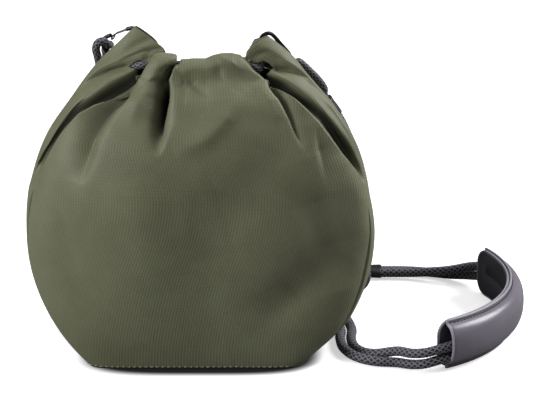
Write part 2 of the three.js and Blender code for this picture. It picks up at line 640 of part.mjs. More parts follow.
function padLeather() {
  const section = leatherSection();
  const steps = 16;
  const rings = [];
  for (let i = 0; i <= steps; i += 1) {
    const turn = degrees(PAD_TO + (PAD_FROM - PAD_TO) * i / steps);
    rings.push(section.map((p) => padPoint(turn, p.x, p.y)));
  }
  return add('pad_leather', loft(rings, section), leather);
}

outerShell();
paddedLining();
base();
casings();
for (const side of ['left', 'right']) {
  clipBody(side);
  clipGate(side);
}
drawstring();
strapBight();
strapStrands();
spliceSleeve();
tail();
padBacking();
padLeather();

export default root;
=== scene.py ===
# %% [markdown]
# A drawstring pouch stands on a white table. Its cloth is olive ripstop nylon, gathered at the neck,
# and a doubled rope strap with a leather pad lies beside it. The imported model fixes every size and
# place, so this lesson only dresses it: each cell replaces one stiff solid by the soft or fine thing
# that it stands for.

# %% Load the frame
import bpy
import numpy as np
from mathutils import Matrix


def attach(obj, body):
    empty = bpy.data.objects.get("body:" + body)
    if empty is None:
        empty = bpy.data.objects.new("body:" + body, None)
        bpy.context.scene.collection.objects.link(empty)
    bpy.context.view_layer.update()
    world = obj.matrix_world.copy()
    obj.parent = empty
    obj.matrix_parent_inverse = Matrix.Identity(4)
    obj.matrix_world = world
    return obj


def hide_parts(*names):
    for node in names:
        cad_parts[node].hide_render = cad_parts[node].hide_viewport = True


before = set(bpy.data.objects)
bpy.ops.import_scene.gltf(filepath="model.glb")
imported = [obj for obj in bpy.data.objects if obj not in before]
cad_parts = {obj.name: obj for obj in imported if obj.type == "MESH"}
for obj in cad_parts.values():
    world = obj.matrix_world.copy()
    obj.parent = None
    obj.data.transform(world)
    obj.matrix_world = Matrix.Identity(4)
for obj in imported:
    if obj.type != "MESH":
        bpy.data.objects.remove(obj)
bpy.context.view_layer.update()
MM = 0.001
print("pieces in the frame:", len(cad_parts))

# %% [markdown]
# The camera comes first, because the folds of the cloth are placed where the photograph shows them.
# It looks at the bag from straight ahead and 20 degrees above, from two metres away with a long lens,
# so that the bag is drawn almost without perspective.

# %% Camera
CAMERA_AT = np.array([57.0, -2072.0, 876.0])
LOOKS_DOWN = np.radians(20)
LENS = 185.6
SENSOR = 36.0
PICTURE = (547, 400)
FOCAL = LENS / SENSOR * PICTURE[0]
FORWARD = np.array([0, np.cos(LOOKS_DOWN), -np.sin(LOOKS_DOWN)])
UPWARD = np.array([0, np.sin(LOOKS_DOWN), np.cos(LOOKS_DOWN)])


def in_picture(points):
    """Picture column and row of points in mm: offsets across and up, divided by the depth."""
    away = points - CAMERA_AT
    depth = away @ FORWARD
    return np.stack([PICTURE[0] / 2 + FOCAL * away[..., 0] / depth,
                     PICTURE[1] / 2 - FOCAL * (away @ UPWARD) / depth], -1)


def behind_pixel(column, row, y):
    """Point in mm seen at a picture position, on the upright plane at that y: a ray cut by a plane."""
    across = (np.asarray(column, float) - PICTURE[0] / 2) / FOCAL
    up = (PICTURE[1] / 2 - np.asarray(row, float)) / FOCAL
    ray = across[..., None] * np.array([1.0, 0, 0]) + up[..., None] * UPWARD + FORWARD
    reach = (np.asarray(y, float) - CAMERA_AT[1]) / ray[..., 1]
    return CAMERA_AT + ray * reach[..., None]


lens = bpy.data.cameras.new("photo_lens")
lens.lens, lens.sensor_width = LENS, SENSOR
camera = bpy.data.objects.new("photo_camera", lens)
camera.location = CAMERA_AT * MM
camera.rotation_euler = (np.pi / 2 - LOOKS_DOWN, 0, 0)
bpy.context.scene.collection.objects.link(camera)
bpy.context.scene.camera = camera
print("corner of the base is at", in_picture(np.array([-78.0, -50.0, 0.0])).round(1))

# %% [markdown]
# Every finish here is a node material. One helper adds a node with its settings and links, and one
# turns a hex colour, as it is picked from a screen, into the linear values that a shader needs.

# %% Helpers for materials


def paint(code):
    """Linear colour of an sRGB hex code: each channel is raised to 2.4 above the short straight part."""
    channel = np.array([int(code[i:i + 2], 16) / 255 for i in (1, 3, 5)])
    linear = np.where(channel <= 0.04045, channel / 12.92, ((channel + 0.055) / 1.055) ** 2.4)
    return (*linear, 1.0)


def put(tree, kind, links=None, **settings):
    """Adds a node, sets its properties, and fills its inputs by a value or by another socket."""
    node = tree.nodes.new("ShaderNode" + kind)
    for key, value in settings.items():
        setattr(node, key, value)
    for key, value in (links or {}).items():
        if isinstance(value, bpy.types.NodeSocket):
            tree.links.new(value, node.inputs[key])
        else:
            node.inputs[key].default_value = value
    return node


def new_material(name):
    made = bpy.data.materials.new(name)
    made.use_nodes = True
    return made, made.node_tree, made.node_tree.nodes["Principled BSDF"]


def ramp(tree, amount, low, high):
    """Colour that goes from one to the other as the amount goes from 0 to 1."""
    mix = put(tree, "Mix", {0: amount, 6: low, 7: high}, data_type="RGBA")
    return mix.outputs[2]


def wave(tree, amount, turns):
    """Cosine of an amount times a number of turns, from -1 to 1."""
    turned = put(tree, "Math", {0: amount, 1: 2 * np.pi * turns}, operation="MULTIPLY")
    return put(tree, "Math", {0: turned.outputs[0]}, operation="COSINE").outputs[0]


def reckon(tree, what, first, second=0.0, third=0.0):
    return put(tree, "Math", {0: first, 1: second, 2: third}, operation=what).outputs[0]


# %% [markdown]
# Ripstop nylon is a plain weave with a stronger thread every few millimetres, which shows as fine
# upright ribs and fainter cross lines. Its coating gives a soft satin shine. The pattern runs on the
# cloth's own flat coordinates, in metres, so that it bends with the folds. The cloth stores how far
# each point lies down in a fold or under another panel, and its colour is painted darker there as shade.

# %% Ripstop nylon
RIB_SPACING, CROSS_SPACING = 2.3 * MM, 2.6 * MM
CROSS_SHARE, RIB_RELIEF = 0.35, 0.12 * MM
GRID_SHADE, SPECK_SHADE = 0.16, 0.5


def ripstop_nylon(name, pale, middle, shade_colour):
    made, tree, shader = new_material(name)
    cloth = put(tree, "UVMap", uv_map="cloth").outputs[0]
    parts = put(tree, "SeparateXYZ", {0: cloth})
    rib = wave(tree, parts.outputs[0], 1 / RIB_SPACING)
    cross = wave(tree, parts.outputs[1], 1 / CROSS_SPACING)
    grid = reckon(tree, "MULTIPLY_ADD", cross, CROSS_SHARE, rib)
    place = put(tree, "TexCoord").outputs["Object"]
    patches = put(tree, "TexNoise", {"Vector": place, "Scale": 26.0, "Detail": 3.0, "Roughness": 0.6})
    specks = put(tree, "TexNoise", {"Vector": place, "Scale": 900.0, "Detail": 2.0})
    woven = reckon(tree, "MULTIPLY_ADD", grid, GRID_SHADE, patches.outputs[0])
    woven = reckon(tree, "MULTIPLY_ADD", specks.outputs[0], SPECK_SHADE, woven)
    woven = reckon(tree, "SUBTRACT", woven, SPECK_SHADE / 2)
    lit = ramp(tree, woven, paint(middle), paint(pale))
    # Painted shade: the colour goes towards the near black shade colour by the amount stored on the
    # cloth.
    painted_shade = put(tree, "Attribute", attribute_name="painted_shade").outputs["Fac"]
    tree.links.new(ramp(tree, painted_shade, lit, paint(shade_colour)), shader.inputs["Base Color"])
    bump = put(tree, "Bump", {"Height": grid, "Strength": 0.35, "Distance": RIB_RELIEF})
    tree.links.new(bump.outputs[0], shader.inputs["Normal"])
    shader.inputs["Roughness"].default_value = 0.55
    shader.inputs["Sheen Weight"].default_value = 0.12
    shader.inputs["Sheen Roughness"].default_value = 0.4
    shader.inputs["Specular IOR Level"].default_value = 0.35
    return made


# The last colour, near black, is the painted shade of the folds and of the places under other panels.
olive_ripstop = ripstop_nylon("ripstop_nylon_olive", "#797b61", "#5c5e46", "#0c0d07")

# %% [markdown]
# The ropes are round braids of polyester: six strands run one way round and six the other. Their
# grey crests make a lattice, and the black diamonds between them are the rope's dark fibre with
# painted shade in the hollows of the braid. Its coordinates count the turns along and round the rope,
# so the colour follows the modelled strands.

# %% Braided polyester
STRANDS = 6
BRAID_ANGLE = np.radians(40)
CREST_FROM, CREST_FULL = 0.45, 0.9


def braided_polyester(name, grey, black):
    made, tree, shader = new_material(name)
    turns = put(tree, "SeparateXYZ", {0: put(tree, "UVMap", uv_map="cloth").outputs[0]})
    one_way = wave(tree, reckon(tree, "ADD", turns.outputs[0], turns.outputs[1]), STRANDS)
    other_way = wave(tree, reckon(tree, "SUBTRACT", turns.outputs[1], turns.outputs[0]), STRANDS)
    over = reckon(tree, "MAXIMUM", one_way, other_way)
    fleck = put(tree, "MapRange", {0: over, 1: CREST_FROM, 2: CREST_FULL}).outputs[0]
    place = put(tree, "TexCoord").outputs["Object"]
    fuzz = put(tree, "TexNoise", {"Vector": place, "Scale": 1400.0, "Detail": 2.0}).outputs[0]
    # Grey on the crests; the black between them is the rope's dark fibre with painted shade in the
    # braid's hollows.
    crest_share = reckon(tree, "MULTIPLY", fleck, reckon(tree, "MULTIPLY_ADD", fuzz, 1.2, 0.2))
    tree.links.new(ramp(tree, crest_share, paint(black), paint(grey)), shader.inputs["Base Color"])
    bump = put(tree, "Bump", {"Height": fuzz, "Strength": 0.4, "Distance": 0.15 * MM})
    tree.links.new(bump.outputs[0], shader.inputs["Normal"])
    shader.inputs["Roughness"].default_value = 0.62
    shader.inputs["Sheen Weight"].default_value = 0.15
    return made


rope = braided_polyester("polyester_braid_grey_black", "#807e8a", "#0b0b0e")

# %% [markdown]
# The other finishes are leather and its painted edge, a satin backing, black coated steel for the
# clips, dark steel wire for their gates, heat-shrink for the sleeves, brushed lining, stiff board and
# two threads. One helper makes them all from a pair of colours, a roughness and a grain size in mm.

# %% Leather, steel, sleeves and linings


def grained(name, low, high, roughness, grain, depth, metallic=0.0, coat=0.0):
    """Grained finish: noise at the grain size mixes two colours and lifts the surface, both in mm."""
    made, tree, shader = new_material(name)
    place = put(tree, "TexCoord").outputs["Object"]
    cells = put(tree, "TexNoise", {"Vector": place, "Scale": 1 / (grain * MM), "Detail": 4.0})
    clouds = put(tree, "TexNoise", {"Vector": place, "Scale": 30.0, "Detail": 2.0})
    blend = reckon(tree, "MULTIPLY_ADD", cells.outputs[0], 0.5, clouds.outputs[0])
    blend = reckon(tree, "SUBTRACT", blend, 0.25)
    tree.links.new(ramp(tree, blend, paint(low), paint(high)), shader.inputs["Base Color"])
    bump = put(tree, "Bump", {"Height": cells.outputs[0], "Strength": 0.5, "Distance": depth * MM})
    tree.links.new(bump.outputs[0], shader.inputs["Normal"])
    shader.inputs["Roughness"].default_value = roughness
    shader.inputs["Metallic"].default_value = metallic
    shader.inputs["Coat Weight"].default_value = coat
    return made


pad_hide = grained("leather_dark_grey", "#68636d", "#807b86", 0.3, 0.9, 0.10)
pad_edge = grained("edge_paint_grey", "#8d8992", "#a29ea8", 0.4, 0.8, 0.05)
satin_back = grained("polyurethane_satin", "#343238", "#45424b", 0.38, 1.2, 0.05)
clip_black = grained("steel_black_coated", "#0e0e10", "#18181b", 0.3, 1.5, 0.03, metallic=0.4)
wire_steel = grained("steel_wire_dark", "#38383c", "#55565b", 0.3, 1.0, 0.02, metallic=0.9)
shrink = grained("heat_shrink_black", "#101012", "#1c1c1f", 0.5, 0.9, 0.05)
foam_lining = grained("brushed_nylon_lining", "#4b4a46", "#5f5d58", 0.9, 1.4, 0.2)
fibre_board = grained("fibre_board_black", "#242426", "#333336", 0.7, 0.8, 0.05)
stitch_thread = grained("polyester_thread_grey", "#8f9180", "#aeb09d", 0.7, 0.6, 0.05)
pad_thread = grained("polyester_thread_black", "#19181b", "#262429", 0.7, 0.6, 0.05)

# %% [markdown]
# A piece is a grid of points put into a mesh in one go. Its columns may close on themselves, as round
# a rope, and its ends may be capped. The flat coordinates of the cloth or braid go in as a UV map.

# %% Helpers for meshes


def grid_faces(rows, columns, closed):
    """Corner numbers of each quad of a grid, row by row, turning anticlockwise."""
    across = columns if closed else columns - 1
    j, i = np.mgrid[0:rows - 1, 0:across]
    right = (i + 1) % columns
    return np.stack([j * columns + i, j * columns + right,
                     (j + 1) * columns + right, (j + 1) * columns + i], -1).reshape(-1, 4)


def unit(vectors):
    """The same directions with length one."""
    return vectors / np.maximum(np.linalg.norm(vectors, axis=-1, keepdims=True), 1e-9)


def distances(line):
    """Length along a line up to each of its points."""
    return np.concatenate([[0], np.cumsum(np.linalg.norm(np.diff(line, axis=0), axis=1))])


def mesh_object(name, points, faces):
    """Smooth mesh object from points in mm and lists of corner numbers."""
    mesh = bpy.data.meshes.new(name)
    mesh.from_pydata((points.reshape(-1, 3) * MM).tolist(), [], faces)
    mesh.polygons.foreach_set("use_smooth", np.ones(len(mesh.polygons), bool))
    made = bpy.data.objects.new(name, mesh)
    bpy.context.scene.collection.objects.link(made)
    return made


def surface(name, grid, flat=None, closed=False, capped=False, flipped=False, keep=None):
    """Mesh object from a grid of points; flat is one more column wide where the grid closes."""
    rows, columns = grid.shape[:2]
    faces = grid_faces(rows, columns, closed)
    if keep is not None:
        faces = faces[keep.reshape(-1)]
    if flipped:
        faces = faces[:, ::-1]
    listed = faces.tolist()
    if capped:
        first = list(range(columns))
        last = list(range((rows - 1) * columns, rows * columns))
        listed += [first, last[::-1]] if flipped else [first[::-1], last]
    made = mesh_object(name, grid, listed)
    mesh = made.data
    if flat is not None:
        layer = mesh.uv_layers.new(name="cloth")
        j, i = np.mgrid[0:rows - 1, 0:(columns if closed else columns - 1)]
        corner = np.stack([flat[j, i], flat[j, i + 1], flat[j + 1, i + 1], flat[j + 1, i]], 2)
        corner = corner.reshape(-1, 4, 2)
        if keep is not None:
            corner = corner[keep.reshape(-1)]
        if flipped:
            corner = corner[:, ::-1]
        values = np.zeros((len(mesh.loops), 2), np.float32)
        values[:len(corner) * 4] = corner.reshape(-1, 2)
        layer.data.foreach_set("uv", values.reshape(-1))
    mesh.validate()
    return made


# %% [markdown]
# A finished piece has its material, the body that it rides on, and the solids that it takes the
# place of, which it hides. Cloth gets its thickness from a modifier, so that its edges show as a
# hem and none stays open.

# %% Helpers for pieces
CLOTH_THICK = 0.7


def store(piece, name, values):
    """Writes one number for each point of the mesh, for its material to read."""
    layer = piece.data.attributes.new(name, "FLOAT", "POINT")
    layer.data.foreach_set("value", np.asarray(values, np.float32).reshape(-1))


def finish_piece(piece, material, body, slot, *nodes):
    piece.data.materials.append(material)
    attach(piece, body)
    if nodes:
        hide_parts(*nodes)
    return piece


def thicken(piece):
    """Gives a sheet its thickness inwards, with a rim round its edges."""
    layer = piece.modifiers.new("cloth_thickness", "SOLIDIFY")
    layer.thickness, layer.offset = CLOTH_THICK * MM, -1


def step_up(value, low, high):
    """Smooth step: 0 below low, 1 above high, three t squared less two t cubed between."""
    t = np.clip((value - low) / (high - low), 0, 1)
    return t * t * (3 - 2 * t)


# %% [markdown]
# A rope is a ring of points carried along a smooth route. The route is a centripetal spline, as the
# model's cord is, and the ring keeps the least twist from step to step. The braid is real relief: the
# surface rises where one strand passes over another.

# %% Ropes
BRAID_RELIEF = 0.34
ROPE_STEP, ROPE_SIDES = 0.75, 24
SPLINE_CUTS = 40


def smooth_route(points, step):
    """Centripetal spline through the points, cut into even steps in mm."""
    p = np.array(points, float)
    p = np.vstack([2 * p[0] - p[1], p, 2 * p[-1] - p[-2]])
    knots = np.concatenate([[0], np.cumsum(np.sqrt(np.linalg.norm(np.diff(p, axis=0), axis=1)))])
    fine = []
    for k in range(1, len(p) - 2):
        t = np.linspace(knots[k], knots[k + 1], SPLINE_CUTS, endpoint=False)[:, None]
        t0, t1, t2, t3 = knots[k - 1:k + 3]
        a = (t1 - t) / (t1 - t0) * p[k - 1] + (t - t0) / (t1 - t0) * p[k]
        b = (t2 - t) / (t2 - t1) * p[k] + (t - t1) / (t2 - t1) * p[k + 1]
        c = (t3 - t) / (t3 - t2) * p[k + 1] + (t - t2) / (t3 - t2) * p[k + 2]
        ab = (t2 - t) / (t2 - t0) * a + (t - t0) / (t2 - t0) * b
        bc = (t3 - t) / (t3 - t1) * b + (t - t1) / (t3 - t1) * c
        fine.append((t2 - t) / (t2 - t1) * ab + (t - t1) / (t2 - t1) * bc)
    fine = np.vstack([*fine, p[-2]])
    far = distances(fine)
    stations = np.linspace(0, far[-1], max(int(far[-1] / step), 8) + 1)
    return np.stack([np.interp(stations, far, fine[:, k]) for k in range(3)], 1), far[-1]


def ring_directions(line):
    """Two directions square to the line at each point: each pair is the last one made square again."""
    along = unit(np.gradient(line, axis=0))
    side = np.cross(along[0], [0.13, 0.27, 0.95])
    sides = []
    for t in along:
        side = unit(side - t * (side @ t))
        sides.append(side)
    return np.array(sides), np.cross(along, sides)


def rod(line, radius, sides):
    """Ring carried along a line; the radius is one number, or one for each point and ring corner."""
    one, two = ring_directions(line)
    turn = 2 * np.pi * np.arange(sides) / sides
    spokes = np.cos(turn)[None, :, None] * one[:, None] + np.sin(turn)[None, :, None] * two[:, None]
    size = np.broadcast_to(radius, (len(line), sides))
    return line[:, None] + spokes * size[..., None]


def braided_cord(name, points, diameter, *nodes):
    """Braided rope along a route: the radius gains the product of two opposite helical waves."""
    line, length = smooth_route(points, ROPE_STEP)
    far = np.linspace(0, length, len(line))
    turn_length = np.pi * diameter / np.tan(BRAID_ANGLE)
    turns = np.arange(ROPE_SIDES) / ROPE_SIDES
    one_way = np.cos(2 * np.pi * STRANDS * (turns[None] + far[:, None] / turn_length))
    other_way = np.cos(2 * np.pi * STRANDS * (turns[None] - far[:, None] / turn_length))
    size = diameter / 2 - BRAID_RELIEF / 2 + BRAID_RELIEF * one_way * other_way
    grid = rod(line, size, ROPE_SIDES)
    round_it = np.arange(ROPE_SIDES + 1) / ROPE_SIDES
    flat = np.stack(np.broadcast_arrays(far[:, None] / turn_length, round_it), -1)
    made = surface(name, grid, flat, closed=True, capped=True)
    finish_piece(made, rope, "pouch", "braid", *nodes)
    print(name, "is", round(length), "mm long")
    return made, line, length


# %% [markdown]
# The clips' places fix the cords near them. Each clip has its own frame: x runs along it, y points to
# its gate and z is square to its ring.

# %% Frames of the clips
CLIP_LENGTH, HALF_SPACING, ROD, WIRE = 37.0, 6.6, 3.2, 1.2
HOOK_STATION = HALF_SPACING + ROD / 2
FAR_STATION = CLIP_LENGTH - HOOK_STATION
HOOKS = {"left": np.array([-51.5, 12.0, 251.6]), "right": np.array([52.3, 11.0, 247.7])}
CLIP_RUNS = {"left": (-0.85, 0.33, -0.41), "right": (0.574, 0.3, -0.77)}
CLIP_FACES = {"left": 1, "right": -1}


def on_clip(side, x, y, z):
    """Point of a clip's own frame in the bag's frame: x along the clip, z level, y square to both."""
    along = unit(np.array(CLIP_RUNS[side]))
    square = CLIP_FACES[side] * unit(np.cross(along, [0, 0, 1.0]))
    lift = np.cross(square, along)
    return HOOKS[side] + (x - HOOK_STATION) * along + y * lift + z * square


def by_hook(side, x, y, z):
    return HOOKS[side] + np.array([x, y, z])


print("the clips hang at", HOOKS["left"], "and", HOOKS["right"])

# %% [markdown]
# The strap is one rope laid double. Its bight goes through the left clip, two strands lead behind the
# bag and through the pad, and both end in the splice sleeve. From there the tail goes up the right
# side to an eye in the right clip, drawn in by some eight millimetres behind the side cloth.

# %% Strap and tail
STRAP, BIGHT, CORD = 7.8, 6.4, 6.0
FERRULE_LENGTH, SLEEVE_LENGTH, CORD_GAP = 14.0, 22.0, 0.6
SPLICE_END, SPLICE_BACK = 147, 145
PAD_CENTRE = np.array([135.0, 50.0])
PAD_CORD_RADIUS = 117.4


def round_the_pad(turn, radius, height):
    """Points on level circles round the pad's centre: (cos, sin) times the radius, at a height."""
    turn, radius, height = np.broadcast_arrays(turn, radius, height)
    return np.stack([PAD_CENTRE[0] + radius * np.cos(turn), PAD_CENTRE[1] + radius * np.sin(turn),
                     height], -1)


def pad_run(height):
    return round_the_pad(np.radians(np.arange(-58, 33, 15)), PAD_CORD_RADIUS, float(height))


lower_strand = [
    by_hook("left", -30, 10.1, -38), by_hook("left", -34.5, 12, -43.3), (-92.5, 25.8, 202.4),
    (-104, 29, 186), (-116, 33, 163), (-125, 35.5, 137), (-130, 36.5, 110), (-131.5, 36.5, 83),
    (-129, 36, 57), (-127, 42, 30), (-120, 52, 12), (-104, 64, 4.2), (-70, 76, 4.1), (-20, 82, 4.1),
    (40, 81, 4.1), (82, 70, 4.1), (104, 48, 4.1), (110.9, 18.4, 4.1), (110, 1.8, 4.1),
    (113, -19.9, 4.1), (122.4, -36, 4.1), (135.9, -44.3, 4.1), (153.7, -47.3, 4.2), (165, -54, 5.4),
    (174.4, -58, 7.7), (183, -57.1, 9.8), *pad_run(11), (229.2, 120, 10.5), (222, 128.5, 8),
    (206, 138, 5), (190, 144.8, 4.1), (172, 148.6, 4.1), (155, 149.2, 4.1), (147.6, 149.2, 4.1)]
upper_strand = [
    by_hook("left", -26.2, 19.1, -36.6), by_hook("left", -29.5, 20, -42.1), (-87, 33.6, 202.4),
    (-97, 36, 186), (-109, 40, 163), (-118, 43.5, 137), (-122.5, 45, 110), (-124, 45, 83),
    (-123, 45, 57), (-121, 53, 30), (-113, 65, 12), (-97, 76, 4.2), (-66, 87, 4.1), (-18, 92, 4.1),
    (44, 91, 4.1), (88, 79, 4.1), (111, 56, 4.1), (117.5, 35.4, 4.1), (119.8, 18.4, 4.1),
    (118.8, 1.8, 4.1), (120.6, -14.2, 4.1), (126.6, -26.2, 4.4), (136.3, -36, 6.8),
    (153.9, -44.2, 12.4), (165, -53.4, 14.4), (174.5, -57.8, 16.8), (183, -57.1, 18.7),
    *pad_run(19.6), (229.2, 119.6, 19.2), (222, 126, 16.8), (204.5, 131, 11.5), (188, 136.4, 8),
    (172, 139.8, 6), (155, 140.9, 5.5), (147.6, 140.9, 5.5)]
bight_route = [
    by_hook("left", -29.5, 9.8, -37.1), by_hook("left", -27.4, 8.4, -33),
    by_hook("left", -26.6, 5, -24.6), by_hook("left", -27.5, 1.6, -16),
    on_clip("left", 36.5, 1.8, -10.3), on_clip("left", 32.7, 5.5, -10.2), on_clip("left", 29, 5.2, -8.3),
    on_clip("left", 28.7, 1.4, -4.7), on_clip("left", 29.7, 0, 0), on_clip("left", 32.4, -0.5, 4.9),
    on_clip("left", 35.6, -0.8, 6.4), on_clip("left", 38.6, -2.6, 7.2),
    by_hook("left", -21.8, 18, -20.6), by_hook("left", -23.1, 18.6, -28.8),
    by_hook("left", -25.7, 19, -35.6)]
TAIL_START = np.array([105.1, 25.4, 193.8])
TAIL_FORWARD = unit(np.array([0.543, 0.109, -0.833]))
TAIL_ACROSS = unit(np.array([0, 1.0, 0]) - TAIL_FORWARD * TAIL_FORWARD[1])
TAIL_END = TAIL_START + FERRULE_LENGTH * TAIL_FORWARD


def eye_leg(hand, before):
    """Point of one leg of the eye, a way before the ferrule's end."""
    return TAIL_START - before * TAIL_FORWARD + hand * (BIGHT + 1) / 2 * TAIL_ACROSS


eye_route = [
    eye_leg(1, 2 * CORD_GAP), eye_leg(1, 6), (93.5, 27.5, 208.5), (84, 27.2, 217.3), (74.9, 26.4, 224),
    on_clip("right", 39, -1, 5.4), on_clip("right", 35.4, 0, 5.8), on_clip("right", 31.4, 0, 4.3),
    on_clip("right", 29.7, 0, 0), on_clip("right", 31.4, -0.5, -4.3), on_clip("right", 35, -2.5, -6.3),
    (76.3, 15.5, 230), (80.3, 17.2, 226.6), (85, 18.5, 221.5), (91, 19.4, 215), (97, 20.4, 206.8),
    eye_leg(-1, 6), eye_leg(-1, 2 * CORD_GAP)]
tail_route = [
    TAIL_END + CORD_GAP * TAIL_FORWARD, TAIL_END + 5 * TAIL_FORWARD, (123.4, 28, 160),
    (132.4, 27.5, 134), (136.8, 28, 107), (137, 28, 81), (136.5, 36, 56), (132.5, 58, 32),
    (124, 84, 13), (114, 106, 6), (107.5, 122, 5.3), (109.5, 137, 5.2), (117, 143.8, 5.2),
    (SPLICE_END - SLEEVE_LENGTH - CORD_GAP, SPLICE_BACK, 5.2)]
TAIL_TUCK = np.array([-6.5, 5.5, 0])
TUCK_RISES, TUCK_FADES = (25, 60), (196, 210)


def tucked(points):
    """Draws the tail in behind the side: the share rises from the floor and fades near the clip."""
    p = np.array(points, float)
    share = step_up(p[:, 2], *TUCK_RISES) * (1 - step_up(p[:, 2], *TUCK_FADES))
    return p + share[:, None] * TAIL_TUCK


braided_cord("strap_strand_lower", lower_strand, STRAP, "strap_lower")
braided_cord("strap_strand_upper", upper_strand, STRAP, "strap_upper")
braided_cord("strap_bight_cord", bight_route, BIGHT, "strap_bight")
braided_cord("tail_eye_cord", tucked(eye_route), BIGHT, "tail_eye")
braided_cord("tail_rope", tucked(tail_route), STRAP, "tail_cord")

# %% [markdown]
# The bag is one closed form: going round it by an angle and up it by a level gives a point. Its side
# outline is a round belly over the base and a long taper, and its plan is a squared oval. It doesn't
# stand quite even: the right side is drawn in a little, and its foot more. Every panel is laid on it.

# %% The form of the bag
BASE_WIDTH, BASE_DEPTH, BODY_WIDTH, BODY_DEPTH = 88.0, 50.0, 136.5, 62.0
WIDEST, RIM, NECK_WIDTH, NECK_DEPTH = 100.0, 229.5, 50.0, 14.0
EARS = {"left": 262.0, "right": 256.0}
BELLY_POWER, TAPER_POWER = 2.4, 2.25
CLOSING_POWER, CLOSING_ROUND = 2.6, 0.7
HEIGHT_POWER, EAR_POWER, DROP_POWER, SQUARE_POWER = 1.12, 6, 8, 9
PLAN_SQUARE, BASE_SQUARE = 2.5, 8.5
EAR_LEAN, EAR_SPREAD = 0.1, 0.2
BACK_DROP, BACK_CORNER_RISE = 10.0, 8.0
RIGHT_NARROW, NARROW_OVER = 3.0, (95, 135)
FOOT_NARROW, FOOT_HEIGHT = 11.0, 36
FRONT, BACK = -np.pi / 2, np.pi / 2


def half_width(z):
    """Half width at a height: a power curve from the base to the widest place, one to the ears."""
    low = BODY_WIDTH - (BODY_WIDTH - BASE_WIDTH) * np.clip(1 - z / WIDEST, 0, 1) ** BELLY_POWER
    up = np.clip((z - WIDEST) / (EARS["left"] - WIDEST), 0, 1)
    return np.where(z < WIDEST, low, BODY_WIDTH - (BODY_WIDTH - NECK_WIDTH) * up ** TAPER_POWER)


def half_depth(z):
    """Half depth at a height: a square curve below, and above it (1 - t^a)^b closing to the neck."""
    low = BODY_DEPTH - (BODY_DEPTH - BASE_DEPTH) * np.clip(1 - z / WIDEST, 0, 1) ** 2
    up = np.clip((z - WIDEST) / (RIM - WIDEST), 0, 1)
    closing = (1 - up ** CLOSING_POWER) ** CLOSING_ROUND
    return np.where(z < WIDEST, low, NECK_DEPTH + (BODY_DEPTH - NECK_DEPTH) * closing)


def bag_point(angle, level, ears=1.0):
    """Point of the outer cloth: an oval |x|^n + |y|^n = 1, times the half width and half depth."""
    angle, level = np.broadcast_arrays(np.asarray(angle, float), np.asarray(level, float))
    c, s = np.cos(angle), np.sin(angle)
    toward_front = np.arctan2(-s, np.abs(c))
    ear = EARS["left"] + (EARS["right"] - EARS["left"]) * (1 + c) / 2
    side = ear * level ** HEIGHT_POWER
    front = side - (ear - RIM) * level ** EAR_POWER
    drop = BACK_DROP - (BACK_DROP + BACK_CORNER_RISE) * np.abs(c) ** 4
    low = front - drop * np.sqrt(np.maximum(s, 0)) * level ** DROP_POWER
    ridge = ears * np.exp(-((toward_front - EAR_LEAN) / EAR_SPREAD) ** 2)
    n = PLAN_SQUARE + BASE_SQUARE * (1 - level) ** SQUARE_POWER
    reach = (np.abs(c) ** n + np.abs(s) ** n) ** (-1 / n)
    narrow = RIGHT_NARROW * step_up(side, *NARROW_OVER)
    narrow = (narrow + FOOT_NARROW * (1 - step_up(side, 0, FOOT_HEIGHT))) * np.maximum(c, 0)
    return np.stack([half_width(side) * reach * c - narrow, half_depth(front) * reach * s,
                     low + (side - low) * ridge], -1)


def outward(grid):
    """Unit normals of a grid: the cross product of its steps along the columns and up the rows."""
    return unit(np.cross(np.gradient(grid, axis=1), np.gradient(grid, axis=0)))


print("the bag is", 2 * BODY_WIDTH, "mm wide and", 2 * BODY_DEPTH, "mm deep")

# %% [markdown]
# The drawstring is one closed cord. It runs in the back casing, comes out at its end, goes round the
# right clip's rod, back through the front casing, and round the left clip's rod. At both gaps in the
# cloth it lies where the photograph shows it.

# %% Drawstring
CASING_HALF, CASING_LIFT = 0.85, 8.5
CORD_SEAT = 0.8
HOOK_TURN = np.radians(120)
DRAWN_BACK = np.array([0, 2.5, -2.5])


def casing_centre(angle):
    """Centre of the casing's bore: the rim's point lifted square to the run of the rim."""
    rim = bag_point(angle, 1.0)
    along = unit(bag_point(angle + 0.01, 1.0) - bag_point(angle - 0.01, 1.0))
    return rim + unit(np.array([0, 0, 1.0]) - along * along[2]) * CASING_LIFT


def casing_run(middle, start, end):
    return [casing_centre(middle + CASING_HALF * t) for t in np.linspace(start, end, 5)]


def hook_bend(side, rod_x, rod_y, away, diameter):
    """Half ring of a cord round a clip's rod, from one side of the clip to the other."""
    reach = ROD / 2 + CORD_SEAT + diameter / 2
    turns = np.radians([-90, -45, 0, 45, 90])
    return [on_clip(side, rod_x - away[0] * reach * np.cos(t), rod_y - away[1] * reach * np.cos(t),
                    reach * np.sin(t)) for t in turns]


